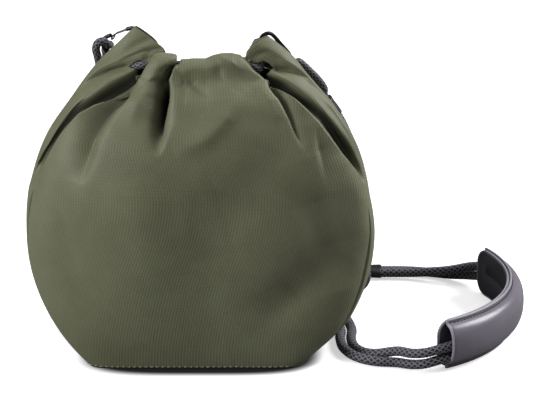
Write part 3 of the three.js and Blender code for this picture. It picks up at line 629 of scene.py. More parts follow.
right_away = (np.cos(HOOK_TURN), np.sin(HOOK_TURN))
right_bend = hook_bend("right", HOOK_STATION + right_away[0] * HALF_SPACING,
                       right_away[1] * HALF_SPACING, right_away, CORD)[::-1]
left_bend = hook_bend("left", HOOK_STATION, -HALF_SPACING, (0, -1), CORD)
end_turn = CORD_GAP / 2 / NECK_WIDTH / CASING_HALF
front_right = casing_centre(FRONT + CASING_HALF)
back_right, back_left = (casing_centre(BACK + hand * CASING_HALF) for hand in (-1, 1))
drawstring_route = [
    *casing_run(BACK, -end_turn, -1), back_right + [2.4, -0.4, 1.5],
    by_hook("right", -8.1, 0.6, -8.9), by_hook("right", -9.3, 2.3, -5.1), *right_bend,
    by_hook("right", -5.1, -9.8, -3.3), by_hook("right", -5.1, -13.4, -6.5),
    behind_pixel(259, 69.5, -7.5), front_right + [0, 0, -4.5],
    *[p + DRAWN_BACK for p in casing_run(FRONT, 0.7, -0.8)],
    behind_pixel(142, 65, -11), behind_pixel(135.5, 66, -8.5), behind_pixel(131.5, 62, -3),
    by_hook("left", 5.2, -7.7, -13.5),
    by_hook("left", 2.3, -6.4, -9.7), *left_bend, by_hook("left", 6.1, 2, -10.6),
    by_hook("left", 8.1, -0.2, -13.2), back_left + [-3.3, -0.5, 2.2], *casing_run(BACK, 1, end_turn)]
braided_cord("drawstring_cord", drawstring_route, CORD, "drawstring")

# %% [markdown]
# Gathered cloth makes deep pleats at the neck that run out into soft valleys. Each pleat is drawn as
# a line in the picture. A point of the cloth sinks by how near it lies to the line, with its own
# width on either side, so a pleat can be steep on one side and soft on the other. A push across makes
# the steep side hang over the hollow, as a real fold does. The side edges of a cloth curl inwards.

# %% Folds of the cloth
EDGE_CURL, CURL_STEPS = 2.4, 4.0


def beside(line, seen):
    """Distance to a line in pixels, negative on the left of a line that runs down, and the share
    of the line's length at the nearest place."""
    line = np.array(line, float)
    spans = np.diff(line, axis=0)
    lengths = np.linalg.norm(spans, axis=1)
    starts = np.concatenate([[0], np.cumsum(lengths)])
    nearest = np.full(seen.shape[:-1], 1e9)
    signed, along = np.zeros(seen.shape[:-1]), np.zeros(seen.shape[:-1])
    for k, span in enumerate(spans):
        away = seen - line[k]
        t = np.clip(away @ span / lengths[k] ** 2, 0, 1)
        rest = away - t[..., None] * span
        gap = np.linalg.norm(rest, axis=-1)
        closer = gap < nearest
        side = np.sign(span[1] * away[..., 0] - span[0] * away[..., 1])
        nearest = np.where(closer, gap, nearest)
        signed = np.where(closer, side * gap, signed)
        along = np.where(closer, (starts[k] + t * lengths[k]) / starts[-1], along)
    return signed, along


def spread(along, values):
    """Values given at even steps of a line, read at a share of its length."""
    return np.interp(along, np.linspace(0, 1, np.size(values)), np.atleast_1d(values))


def fold(seen, line, depths, left, right, power):
    """Sink of a fold: depth times exp(-(distance / width)^power); depth and widths vary along it."""
    gap, along = beside(line, seen)
    width = np.where(gap < 0, spread(along, left), spread(along, right))
    return spread(along, depths) * np.exp(-(np.abs(gap) / width) ** power)


def overhang(seen, line, most, place, wide, fade):
    """Push across beside a fold: a bell at one distance from its line, faded out along it."""
    gap, along = beside(line, seen)
    return most * np.exp(-((gap - place) / wide) ** 2) * (1 - step_up(along, *fade))


def edge_curl(u):
    """How far the cloth turns in at its two side edges, over the last few columns."""
    return EDGE_CURL * (1 - step_up(np.minimum(u, 1 - u) * (u.size - 1), 0, CURL_STEPS))


def quads_to_keep(seen, outline, in_front):
    """Marks the quads that aren't wholly inside an outline: a point inside crosses it an odd number
    of times on its way to the right."""
    ring = np.array([*outline, outline[0]], float)
    inside = np.zeros(seen.shape[:2], bool)
    for (x0, y0), (x1, y1) in zip(ring[:-1], ring[1:]):
        crosses = (y0 > seen[..., 1]) != (y1 > seen[..., 1])
        at = x0 + (x1 - x0) * (seen[..., 1] - y0) / (y1 - y0 if y1 != y0 else 1e-9)
        inside ^= crosses & (seen[..., 0] < at)
    inside &= in_front
    quad = inside[:-1, :-1] & inside[1:, :-1] & inside[:-1, 1:] & inside[1:, 1:]
    return ~quad


print("the side edges of each cloth curl in by", EDGE_CURL, "mm")

# %% [markdown]
# The front panel is wide at the middle and drawn together at the neck. Its side edges are the seams,
# given as an angle from the side of the bag at each level. From half the height up, each edge is then
# pulled to where the photograph shows it: a column, a row, and how far forward it lies in mm.

# %% Seams and edges of the front
SEAM_TURN = 0.451
SEAM_LEVELS = [0, 0.2, 0.35, 0.5, 0.6, 0.7, 0.75, 0.8, 0.85, 0.9, 0.95, 1]
LEFT_SEAM = [0.2, 0.2, 0.22, 0.3, 0.36, 0.39, 0.39, 0.43, 0.53, 0.58, 0.60, 0.70]
RIGHT_SEAM = [0.80, 0.56, 0.42, 0.32, 0.34, 0.48, 0.54, 0.57, 0.57, 0.58, 0.62, 0.72]
EDGE_LEVELS = [0.5, 0.6, 0.65, 0.7, 0.75, 0.8, 0.85, 0.9, 0.95, 1.0]
LEFT_EDGE = [None, (34.8, 181, -18), (41, 166, -19), (48.5, 151, -21), (60, 132, -24), (76, 114, -28),
             (93, 105.5, -30), (111, 96.5, -28), (128, 86, -24), (138, 75, -19)]
RIGHT_EDGE = [None, (364, 180, -20), (354, 165, -23), (343.5, 151, -26), (332, 135, -29),
              (320, 120, -30), (305, 106, -29), (292, 94, -26), (279, 84, -22), (266, 79, -18)]
EDGE_REACH = 0.24


def smooth_through(at, knots, values):
    """Cubic through rows of values at knots: each knot's slope is the mean of the slopes beside it."""
    knots, values = np.asarray(knots, float), np.asarray(values, float)
    slopes = np.gradient(values, knots, axis=0)
    k = np.clip(np.searchsorted(knots, at) - 1, 0, len(knots) - 2)
    span = (knots[k + 1] - knots[k]).reshape(-1, *[1] * (values.ndim - 1))
    t = ((at - knots[k]).reshape(span.shape)) / span
    t = np.clip(t, 0, 1)
    return ((2 * t ** 3 - 3 * t ** 2 + 1) * values[k] + (t ** 3 - 2 * t ** 2 + t) * span * slopes[k]
            + (3 * t ** 2 - 2 * t ** 3) * values[k + 1] + (t ** 3 - t ** 2) * span * slopes[k + 1])


def seam_turn(level, seam):
    """Angle of a seam from the side of the bag at each level, as a smooth curve through the knots."""
    level = np.asarray(level, float)
    return smooth_through(level.ravel(), SEAM_LEVELS, seam).reshape(level.shape)


def pull_edge(body, level, u, edge):
    """Draws one side edge onto picture positions; the pull fades as a square across the cloth."""
    natural = np.stack([np.interp(EDGE_LEVELS, level[:, 0], body[:, 0, k]) for k in range(3)], 1)
    targets = np.array([n if e is None else behind_pixel(*e) for n, e in zip(natural, edge)])
    pulls = targets - natural
    away = np.stack([np.interp(level[:, 0], EDGE_LEVELS, pulls[:, k]) for k in range(3)], 1)
    share = np.clip(1 - u / EDGE_REACH, 0, 1) ** 2
    return body + away[:, None] * share[..., None]


print("front seams are placed at", len(SEAM_LEVELS), "levels, its edges at", len(EDGE_LEVELS))

# %% [markdown]
# A cloth has its own flat coordinates, taken as the length along each thread, so that the ribs stay
# upright and evenly spaced. Past the rim the cloth goes on: up the outside of the casing, half a turn
# over the drawstring, and a little way down inside.

# %% Threads and rolled hem
ROWS_UP, ROWS_OVER = 176, 34
RISES_TO, SWINGS_TO, HANGS_IN = 0.22, 0.84, 6.0
UP_SHARE = np.concatenate([np.linspace(0, 1, ROWS_UP), np.ones(ROWS_OVER - 1)])[:, None]


def along_lengths(grid, axis):
    """Length in mm from the first row or column, as the running sum of the steps."""
    steps = np.linalg.norm(np.diff(grid, axis=axis), axis=-1)
    pad = [(0, 0), (0, 0)]
    pad[axis] = (1, 0)
    return np.pad(np.cumsum(steps, axis=axis), pad)


def flat_coordinates(grid):
    """Flat place of each point in metres: along its row from the middle, and up the middle column."""
    across = along_lengths(grid, 1)
    middle = grid.shape[1] // 2
    upright = along_lengths(grid, 0)[:, middle:middle + 1]
    across = across - across[:, middle:middle + 1]
    return np.stack([across, np.broadcast_to(upright, across.shape)], -1) * MM


def over_rows(most):
    """Share of the way over the hem: 0 up to the rim, then even steps to the most."""
    return np.concatenate([np.zeros(ROWS_UP), np.linspace(0, most, ROWS_OVER - 1)])[:, None]


def flared(body, flare):
    """Moves the neck's cloth level outwards, so that it lies outside its casing."""
    return body + unit(outward(body) * [1, 1, 0]) * flare[..., None]


def rolled_top(body, roll_radius, lift):
    """Rows past the rim: up the outside of the casing, then half a turn over it and down inside."""
    rim = body[-1]
    across = np.gradient(rim, axis=0)
    square = unit(np.stack([across[:, 1], -across[:, 0], np.zeros(len(rim))], -1))
    turn = np.linspace(0, 1, ROWS_OVER)[1:, None, None]
    rise = np.clip(turn / RISES_TO, 0, 1)
    swing = np.clip((turn - RISES_TO) / (SWINGS_TO - RISES_TO), 0, 1) * np.pi
    drop = np.clip((turn - SWINGS_TO) / (1 - SWINGS_TO), 0, 1)
    radius, lift = np.reshape(roll_radius, (-1, 1)), np.reshape(lift, (-1, 1))
    inward = radius * (1 - np.cos(swing))
    height = lift * rise + radius * np.sin(swing) - HANGS_IN * drop
    return rim - square * inward + np.array([0, 0, 1.0]) * height


print("a panel has", ROWS_UP, "rows up to its rim and", ROWS_OVER - 1, "over its hem")

# %% [markdown]
# These are the folds of the front: a line in the picture, depths along it in mm, the widths to its
# left and right in pixels, and how square its bell is. The first three are the deep pleats: the
# valley beside the left lobe, and one beside each ear. A negative depth is a bulge. The upper edge
# of the front rises and falls in lobes, given as picture rows at picture columns.

# %% Folds of the front
LEFT_PLEAT = [(182, 52), (180, 57), (176, 64), (173, 74), (172, 89), (170.5, 100.5), (168, 112),
              (163.5, 123.5), (160, 135), (158.5, 146), (156, 156)]
EAR_PLEAT = [(143, 60), (136.5, 77), (129.5, 86.5), (121, 100.5), (111, 112), (101.5, 123), (93.5, 137),
             (89, 150), (83.5, 168), (79, 184)]
RIGHT_PLEAT = [(240, 50), (251, 64), (265, 79), (277, 95.5), (285, 112), (294, 130), (304, 147)]
FRONT_FOLDS = [
    (LEFT_PLEAT, (12, 14, 18, 21, 22, 21, 18, 14, 9, 4, 0), (3, 4, 9, 14, 15, 13, 11, 9, 8, 7),
     (2, 2, 2.5, 3, 3.5, 4, 5, 5, 4, 3), 2.2),
    (EAR_PLEAT, (3, 9, 9, 9, 9, 8, 6.5, 5.5, 3.5, 0), (6, 9, 14, 15, 13, 10),
     (2.4, 2.4, 3, 5, 6, 6), 1.6),
    (RIGHT_PLEAT, (0, 3, 7, 9, 7, 4, 0.5), (1.6, 1.6, 2.4), (6, 9, 9), 1.5),
    ([(285, 118), (268, 158), (250, 188), (222, 208), (185, 220)], (0, 4, 5, 4, 0), (30, 34, 30),
     (34, 40, 34), 2),
    ([(240, 90), (227, 118), (207, 139), (174, 153)], (0, -4, -4, 0), 22, 9, 1.7),
    ([(317, 128), (321, 148), (327, 172), (331, 192)], (0.4, 3, 2, 0), (3, 4, 7), (9, 12, 12), 1.6),
    ([(184, 66), (194, 80), (206, 93), (214, 98)], (0, 2.2, 1.8, 0), 4, 6, 2),
    ([(212, 58), (219, 68), (221, 86)], (0.6, 1.8, 0), 7, 4, 2),
    ([(220, 56), (231, 61), (243, 69)], (-1, -1.3, 0), 2.4, 2.4, 1.8),
    ([(160, 60), (150, 80), (138, 104), (128, 128)], (-2, -3, -3, 0), 11, 9, 1.8),
    ([(255, 75), (268, 95), (280, 125)], (-1.6, -2, 0), 7, 5, 1.8),
    ([(305, 160), (318, 200), (332, 245), (345, 290)], (0, 4.5, 4.5, 0), 24, 20, 2),
    ([(345, 150), (360, 200), (368, 250)], (0, -2.5, 0), 9, 9, 2),
    ([(95, 330), (70, 260), (62, 200), (75, 140)], (0, 1.6, 2, 0), 14, 14, 2),
    ([(150, 120), (140, 200), (135, 260), (140, 350)], (0, -3.5, -3, 0), 44, 36, 2),
    ([(205, 190), (205, 250), (225, 330)], (0, 3, 1), 26, 34, 2),
    ([(245, 335), (290, 300), (345, 250)], (0, 5.5, 0), 18, 24, 2)]
TOP_COLUMNS = [138, 143, 150, 158, 165, 172, 178, 181.5, 184, 187, 193, 205, 209, 214, 222, 232, 240,
               251, 266]
TOP_ROWS = [61, 61, 58, 55.5, 54.5, 54.5, 55.5, 58.5, 62, 60, 59, 59, 57.5, 55.5, 54, 54, 56.5, 59, 60]
TOP_LEVEL_ROW, MM_PER_STEP = 53.0, 0.8
print("the front has", len(FRONT_FOLDS), "folds and", len(TOP_COLUMNS), "points along its upper edge")

# %% [markdown]
# The panel is laid on the bag's form, flared at the neck, pulled to its edges and rolled over the
# drawstring. The roll dies out at both ends of the casing. Then the lobes lift its upper edge, a few
# passes of smoothing blend the roll into the neck, and the folds sink into it. Over the casing a fold
# can only be shallow. The deeper a point lies in a fold, the darker its colour is painted, as shade,
# and the lowest rows are painted dark as the shadow where the panel meets the table.

# %% Front panel
FRONT_COLUMNS = 225
ROLL_RADIUS, ROLL_LIFT = 10.0, 7.3
ROLL_ENDS, ROLL_SHARES = [139, 151, 240, 264], [0.12, 1, 1, 0.12]
NECK_FLARE, FLARE_FROM, FLARE_POWER = 11.0, 0.82, 1.5
LOBES_FROM = 0.86
SMOOTHING_PASSES, SMOOTH_BELOW, SMOOTH_ABOVE = 40, 16, 9
ROLL_SINK, DEEPER, DEEPER_ROWS = 8.5, 20, 18
INSIDE_SINK = 0.35
LEFT_HANG, RIGHT_HANG = (4.5, 4.5, 3.0, (0.55, 0.9)), (2.5, -2.0, 2.5, (0.7, 1.0))
# Painted shadow along the base: the lowest rows, up to these shares of the height, are painted dark.
BASE_SHADE_ROWS = (0.004, 0.014)
# Painted shade in the folds: it starts at this sink in mm, grows over this span, and is raised to this
# power.
DARK_FROM, DARK_SPAN, DARK_POWER = 2.5, 13, 1.2


def front_form(u, level):
    """The panel before its folds: the bag's form between its seams, with its hem rolled over."""
    left = -np.pi + seam_turn(level, LEFT_SEAM)
    right = -seam_turn(level, RIGHT_SEAM)
    body = bag_point(left + (right - left) * u, level, ears=0.0)
    near_rim = np.clip((level - FLARE_FROM) / (1 - FLARE_FROM), 0, 1)
    body = flared(body, NECK_FLARE * near_rim ** FLARE_POWER)
    body = pull_edge(body, level, u, LEFT_EDGE)
    body = pull_edge(body[:, ::-1], level, u, RIGHT_EDGE)[:, ::-1]
    full = np.interp(in_picture(body[-1])[:, 0], ROLL_ENDS, ROLL_SHARES)
    grid = np.concatenate([body, rolled_top(body, ROLL_RADIUS * full, ROLL_LIFT * full)])
    seen = in_picture(grid)
    lobes = (TOP_LEVEL_ROW - np.interp(seen[..., 0], TOP_COLUMNS, TOP_ROWS)) * MM_PER_STEP * full
    grid[..., 2] += lobes * step_up(UP_SHARE, LOBES_FROM, 1.0)
    first, last = ROWS_UP - SMOOTH_BELOW, ROWS_UP + SMOOTH_ABOVE
    for _ in range(SMOOTHING_PASSES):
        grid[first:last] = (grid[first - 1:last - 1] + 2 * grid[first:last]
                            + grid[first + 1:last + 1]) / 4
    return grid, seen


def front_panel():
    """Sinks each point along its outward direction by all folds, and hangs two edges over them."""
    u = np.linspace(0, 1, FRONT_COLUMNS)[None, :]
    grid, seen = front_form(u, np.linspace(0, 1, ROWS_UP)[:, None])
    out = outward(grid)
    sink = sum(fold(seen, *one) for one in FRONT_FOLDS)
    # Painted shade: the further a point sinks into a fold, the darker its colour.
    fold_shade = np.clip((sink - DARK_FROM) / DARK_SPAN, 0, 1) ** DARK_POWER
    below = np.concatenate([np.arange(ROWS_UP)[::-1], np.zeros(ROWS_OVER - 1)])[:, None]
    sink = np.minimum(sink, ROLL_SINK + DEEPER * step_up(below, 0, DEEPER_ROWS))
    sink = sink * (1 - (1 - INSIDE_SINK) * over_rows(1))
    grid = grid - out * (sink + edge_curl(u))[..., None]
    grid[..., 0] -= overhang(seen, LEFT_PLEAT, *LEFT_HANG)
    grid[..., 0] += overhang(seen, RIGHT_PLEAT, *RIGHT_HANG)
    made = surface("front_cloth", grid, flat_coordinates(grid))
    # Painted shade in the folds, and painted shadow along the lowest rows where the panel meets the
    # table.
    store(made, "painted_shade", np.maximum(fold_shade, 1 - step_up(UP_SHARE, *BASE_SHADE_ROWS)))
    thicken(made)
    return finish_piece(made, olive_ripstop, "pouch", "ripstop", "front_panel", "front_casing"), grid


front_cloth, front_grid = front_panel()
print("front cloth spans", front_grid.min((0, 1)).round(1), front_grid.max((0, 1)).round(1))

# %% [markdown]
# Each side is a gusset that ends in an ear: a peak of cloth folded over the drawstring. Low down it is
# the bag's own form. Towards the neck it becomes a few long rolls, so it is shaped by curves that run
# up it: under the front panel, the hollow, the roll, the crease under the hood, the hood, the ridge
# against the sky, and two behind. Each is given by where the photograph shows it and how far forward
# it lies. A hole in each ear, outlined in the picture, shows the drawstring.

# %% Curves and holes of the ears
CURVE_PLACES = [0.0, 0.13, 0.27, 0.42, 0.54, 0.64, 0.8, 1.0]
CURVE_LEVELS = [0.55, 0.7, 0.8, 0.9, 0.95, 1.0]
LEFT_CURVES = [
    [(58, 158, -23), (86, 124, -24), (117, 104, -19), (136, 93, -15), (147, 84, -11)],
    [(49, 151, -13), (77, 115, -18), (110, 95, -17), (127, 84, -14), (138, 75, -11)],
    [(47, 146, -14), (73, 107, -19), (103, 86, -19), (121, 76.5, -16), (141, 68, -11)],
    [(50.5, 136, -11), (73.5, 99, -10), (102, 74, -10), (126, 67, -10), (164, 56, -9)],
    [(50.6, 132.5, -7), (72, 97, -6), (101, 66, -8), (124, 55, -9), (161, 46, -8)],
    [(48.5, 131, -2), (71.5, 96.5, -1), (98, 62.5, -1), (116, 46.5, -1), (136.5, 27.5, -1)],
    [(49, 131, 9), (72, 97, 9), (99, 64, 7), (117, 48.5, 5), (156, 40, 3)],
    [(58, 130, 25), (77, 102, 21), (103, 80, 16), (120, 71, 12), (161, 60, 9)]]
RIGHT_CURVES = [
    [(335, 158, -27), (311, 129, -28), (283, 104, -21), (270, 94, -16), (256, 88, -12)],
    [(343, 151, -17), (319.5, 120, -20), (291.5, 94, -17), (279, 84, -14), (266, 78, -11)],
    [(351, 148, -13), (326, 113, -17), (297, 87, -18), (283, 78, -16), (264, 72, -12)],
    [(355, 148, -8), (330, 111, -10), (296, 73.5, -9), (277, 68.6, -9), (246, 54, -9)],
    [(356, 145, -5), (334, 108, -5), (302, 70, -6), (283, 58, -8), (256, 43, -8)],
    [(356, 143, -1), (335, 107, 0), (306, 72, 0), (291, 55, -1), (268, 36.5, -1)],
    [(354, 138, 9), (333, 104, 9), (305, 75, 7), (288, 58, 5), (253, 43, 3)],
    [(345, 135, 25), (326, 105, 21), (301, 82, 16), (284, 72, 12), (244, 58, 9)]]
LEFT_HOLE = [(127, 67), (134, 62.5), (141, 58.5), (149, 61), (158, 57.5), (172, 53), (176, 90),
             (150, 78), (140, 73), (133, 69.5)]
RIGHT_HOLE = [(277, 68.8), (271, 64), (263, 60.5), (256, 61.5), (249, 60.5), (238, 55), (236, 90),
              (255, 88), (264, 78.8), (267, 75.5)]
SIDE_FOLDS = {
    "left": [
        ([(126, 66.5), (110, 70.7), (90, 79.5), (82, 84)], (2.2, 2.6, 1.6, 0), 1.8, 2.6, 1.4),
        ([(150, 39), (137, 45), (118, 55), (100, 66)], (1.8, 2.2, 1.4, 0), 4, 3, 1.6),
        ([(160, 49), (146, 49.5), (132, 56), (118, 62)], (2, 2.4, 1.8, 0), 2.4, 3, 1.5),
        ([(147, 60), (148, 52), (156, 49.5)], (1.6, 2.2, 0), 2, 2, 1.5),
        ([(104, 77), (92, 88), (80, 103), (66, 120)], (0, 1.8, 1.6, 0), 3, 5, 1.6),
        ([(50, 140), (42, 158), (37, 178)], (0.5, 1.4, 0), 2.2, 2.2, 1.6)],
    "right": [
        ([(277, 68.6), (288.5, 70.2), (299, 73.5), (308, 77.5)], (2.4, 2.8, 2.2, 1), 2.2, 2.2, 1.4),
        ([(262, 51), (270, 54), (277, 58), (284, 61)], (0, 1.4, 1.6, 0), 3, 3, 1.6),
        ([(253, 58), (263, 53), (272, 51)], (1.2, 1.8, 0), 2, 2.6, 1.5),
        ([(322, 117), (334, 132), (350, 155), (362, 178)], (2, 6, 6, 2), 4, 4, 1.8),
        ([(312, 90), (330, 108), (345, 130), (358, 156)], (-1.2, -1.8, -1.8, 0), 3.4, 3, 1.6)]}
SIDES = {"left": (1, np.pi, LEFT_SEAM, LEFT_CURVES, LEFT_HOLE),
         "right": (-1, 0.0, RIGHT_SEAM, RIGHT_CURVES, RIGHT_HOLE)}
print("each ear follows", len(CURVE_PLACES), "curves at", len(CURVE_LEVELS) - 1, "levels")

# %% [markdown]
# The gusset is the bag's form plus a smooth blend of how far each curve lies from that form. It is
# blended up along the curves first and then across them. It runs on a little under the front panel,
# where its colour is painted dark as that panel's shade, and its creases are painted dark as shade.

# %% Side gussets
SIDE_COLUMNS, SIDE_ROWS, ROWS_CROWD = 120, 190, 1.15
UNDER_LAP, LAP_OVER = 0.15, (0.5, 0.75)
# Painted shade where the gusset runs under the front panel, and in its creases.
SHADE_ACROSS, SHADE_OVER, SHADE_MOST = 0.14, (0.62, 0.75), 0.92
CREASE_FROM, CREASE_SPAN = 2, 6
RIDGE = 5


def side_angle(side, place, level):
    """Angle round the bag at a place across the gusset: from under the front seam to the back seam."""
    hand, middle, seam = SIDES[side][:3]
    start = seam_turn(level, seam) + UNDER_LAP * step_up(level, *LAP_OVER)
    return middle + hand * (start + (-SEAM_TURN - start) * place)


def side_form(side, u, level):
    """The bag's form, moved by how far each curve lies from it, blended up and then across."""
    form = bag_point(side_angle(side, u[None, :], level[:, None]), level[:, None], ears=0.0)
    knots = np.array(CURVE_LEVELS)
    moved = np.zeros((len(knots), len(CURVE_PLACES), 3))
    for c, (place, curve) in enumerate(zip(CURVE_PLACES, SIDES[side][3])):
        natural = bag_point(side_angle(side, place, knots[1:]), knots[1:], 0.0)
        column, row, y = np.array(curve, float).T
        moved[1:, c] = behind_pixel(column, row, y) - natural
    up = smooth_through(np.clip(level, knots[0], 1), knots, moved)
    across = smooth_through(u, CURVE_PLACES, np.swapaxes(up, 0, 1))
    return form + np.swapaxes(across, 0, 1) * (level > knots[0])[:, None, None]


def side_cloth(side):
    """Sinks the gusset's folds in front of its ridge, and leaves the hole's quads out."""
    hand, hole = SIDES[side][0], SIDES[side][4]
    u = np.linspace(0, 1, SIDE_COLUMNS)
    level = 1 - (1 - np.linspace(0, 1, SIDE_ROWS)) ** ROWS_CROWD
    grid = side_form(side, u, level)
    seen = in_picture(grid)
    in_front = u[None, :] < CURVE_PLACES[RIDGE]
    sink = sum(fold(seen, *one) for one in SIDE_FOLDS[side]) * in_front
    grid = grid + hand * outward(grid) * (sink + edge_curl(u[None, :]))[..., None]
    keep = quads_to_keep(in_picture(grid), hole, in_front)
    made = surface(side + "_side_cloth", grid, flat_coordinates(grid), keep=keep, flipped=hand > 0)
    # Painted shade under the front panel's edge.
    under_panel_shade = step_up(CURVE_PLACES[2] - u[None, :], 0.0, SHADE_ACROSS)
    under_panel_shade = SHADE_MOST * under_panel_shade * step_up(level[:, None], *SHADE_OVER)
    # The creases and the strip under the front panel are painted dark as shade.
    store(made, "painted_shade", np.maximum(np.clip((sink - CREASE_FROM) / CREASE_SPAN, 0, 1), under_panel_shade))
    thicken(made)
    return finish_piece(made, olive_ripstop, "pouch", "ripstop", side + "_gusset"), grid


left_cloth, left_grid = side_cloth("left")
right_cloth, right_grid = side_cloth("right")
print("side cloths reach up to", left_grid[..., 2].max().round(1), right_grid[..., 2].max().round(1))

# %% [markdown]
# The back panel was cut the same way. It shows plain gathers that fade downwards, and its rim is
# lower, where the hem rolls over the back half of the drawstring.

# %% Back panel
BACK_COLUMNS = 200
BACK_GATHERS, BACK_WAVES = 11, 3.3
BACK_ROLL, BACK_LIFT, BACK_FLARE, FLARE_OVER = 6.5, 5.0, 6.5, (0.9, 1.0)
GATHER_DEPTH, GATHER_SINK, WAVE_DEPTH = 1.9, 1.4, 1.1
GATHER_FROM, GATHER_GROWTH, GATHER_ROUND = 0.5, 1.6, 0.8
GATHER_DRIFT, GATHER_TURNS, GATHER_LEAN = 0.35, 7, 0.1
WAVE_DRIFT, WAVE_TURNS, BACK_OVER = 0.4, 4, 0.6
# Painted shade in the gathers: from this sink in mm, over this span, to at most this share.
BACK_DARK_FROM, BACK_DARK_SPAN, BACK_DARK_MOST = 2.6, 2.2, 0.5


def back_panel():
    """Gathers are a rounded-off cosine that grows to the neck; a broad wave swells the middle."""
    u = np.linspace(0, 1, BACK_COLUMNS)[None, :]
    level = np.linspace(0, 1, ROWS_UP)[:, None]
    body = bag_point(SEAM_TURN + (np.pi - 2 * SEAM_TURN) * u, level, ears=0.0)
    body = flared(body, BACK_FLARE * step_up(level, *FLARE_OVER))
    grid = np.concatenate([body, rolled_top(body, BACK_ROLL, BACK_LIFT)])
    grow = np.clip((UP_SHARE - GATHER_FROM) / (1 - GATHER_FROM), 0, 1) ** GATHER_GROWTH
    gathers = np.cos(2 * np.pi * (BACK_GATHERS * u + GATHER_DRIFT * np.sin(GATHER_TURNS * u)
                                  + GATHER_LEAN * UP_SHARE))
    waves = np.cos(2 * np.pi * (BACK_WAVES * u + WAVE_DRIFT * np.cos(WAVE_TURNS * UP_SHARE)))
    sink = grow * (GATHER_DEPTH * np.sign(gathers) * np.abs(gathers) ** GATHER_ROUND + GATHER_SINK)
    sink = sink + WAVE_DEPTH * waves * 4 * UP_SHARE * (1 - UP_SHARE)
    inwards = sink * (1 - over_rows(BACK_OVER)) + edge_curl(u)
    grid = grid - outward(grid) * inwards[..., None]
    made = surface("back_cloth", grid, flat_coordinates(grid))
    # Painted shade: the furthest sunk gathers are painted darker.
    store(made, "painted_shade", np.clip((sink - BACK_DARK_FROM) / BACK_DARK_SPAN, 0, BACK_DARK_MOST))
    thicken(made)
    return finish_piece(made, olive_ripstop, "pouch", "ripstop", "back_panel", "back_casing"), grid


back_cloth, back_grid = back_panel()
print("back cloth has", BACK_GATHERS, "gathers")

# %% [markdown]
# Inside hangs the padded lining, four quilted pads of foam in brushed nylon. They hang 15 mm inside
# the outer cloth, clear of its folds. Each pad is a closed form: two skins that meet at a rounded
# edge, drawn in along its quilting lines.

# %% Padded lining
LINING_BOTTOM, LINING_TOP, LINING_GAP = 0.06, 0.62, 0.03
LINING_DEPTH, LINING_THICK = 15.0, 4.0
QUILT_SPACING, QUILT_SHARE, QUILT_WIDTH = 42.0, 0.35, 3
PAD_STEPS, EDGE_STEPS = 90, 3.0


def pad_form(face, out, thick):
    """Closed pad: both skins leave the middle face by half the thickness times a root-sine edge."""
    rows, columns = face.shape[:2]
    v, u = np.linspace(0, 1, rows)[:, None], np.linspace(0, 1, columns)[None, :]
    swell = np.minimum(np.minimum(u, 1 - u) * columns, np.minimum(v, 1 - v) * rows) / EDGE_STEPS
    swell = np.sqrt(1 - (1 - np.clip(swell, 0, 1)) ** 2)
    far = along_lengths(face, 1)
    off_line = np.mod(far + QUILT_SPACING / 2, QUILT_SPACING) - QUILT_SPACING / 2
    quilt = 1 - QUILT_SHARE * np.exp(-(off_line / QUILT_WIDTH) ** 2)
    half = (thick / 2 * swell * quilt)[..., None]
    front, back = face + out * half, face - out * half
    return np.concatenate([front, back[:, ::-1]], axis=1)


def lining_pad(side, middle, half):
    angle = np.linspace(middle - half, middle + half, PAD_STEPS)[None, :]
    level = np.linspace(LINING_BOTTOM, LINING_TOP, PAD_STEPS)[:, None]
    face = bag_point(angle, level, ears=0.0)
    out = outward(face)
    grid = pad_form(face - out * LINING_DEPTH, out, LINING_THICK)
    made = surface(side + "_lining_pad", grid, closed=True, capped=True)
    return finish_piece(made, foam_lining, "pouch", "lining", side + "_padding")


wide_half, narrow_half = np.pi / 2 - SEAM_TURN - LINING_GAP, SEAM_TURN - LINING_GAP
for side, middle, half in [("front", FRONT, wide_half), ("back", BACK, wide_half),
                           ("left", np.pi, narrow_half), ("right", 0.0, narrow_half)]:
    lining_pad(side, middle, half)
print("lining pads are", LINING_THICK, "mm thick, quilted every", QUILT_SPACING, "mm")

# %% [markdown]
# The floor of the bag is three plates with the outline of the base: the outer cloth, a stiff board
# that stays as the model has it, and one more pad over it.

# %% Base
BASE_STEPS = 160


def base_slab(name, inset, bottom, top, round_edge):
    """Plate with the outline of the base and a rounded edge, as rings drawn in from the outline."""
    angle = np.linspace(0, 2 * np.pi, BASE_STEPS, endpoint=False)
    outline = bag_point(angle, 0.0)[:, :2]
    length = np.linalg.norm(outline, axis=1, keepdims=True)
    thick = top - bottom
    rings = []
    for draw, z in [(0.5, bottom), (0.05, bottom), (0.012, bottom), (0, bottom + round_edge * thick),
                    (0, top - round_edge * thick), (0.012, top), (0.05, top), (0.5, top)]:
        scale = (length - inset) / length * (1 - draw)
        rings.append(np.column_stack([outline * scale, np.full(len(outline), z)]))
    return surface(name, np.array(rings), closed=True, capped=True)


base_skin = base_slab("base_cloth", inset=0.6, bottom=0.0, top=1.0, round_edge=0.3)
finish_piece(base_skin, olive_ripstop, "pouch", "base_cloth", "base_panel")
base_pad = base_slab("base_pad", inset=7.0, bottom=3.7, top=6.5, round_edge=0.35)
finish_piece(base_pad, foam_lining, "pouch", "lining", "base_padding")
board_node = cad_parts["base_board"]
board_node.data.materials.clear()
board_node.data.materials.append(fibre_board)
print("base cloth, pad and board are in")

# %% [markdown]
# The clips are small wire-gate carabiners of black coated steel. Each rod is a round bar bent into an
# open ring: along one limb, round both ends, and back to the gap that the gate closes. The gate is
# one springy wire, bent so that its two legs straddle the rod and its cross bar lies under the nose.
# Both are routes in the clip's own frame, in mm along it, towards the gate and square to the ring.

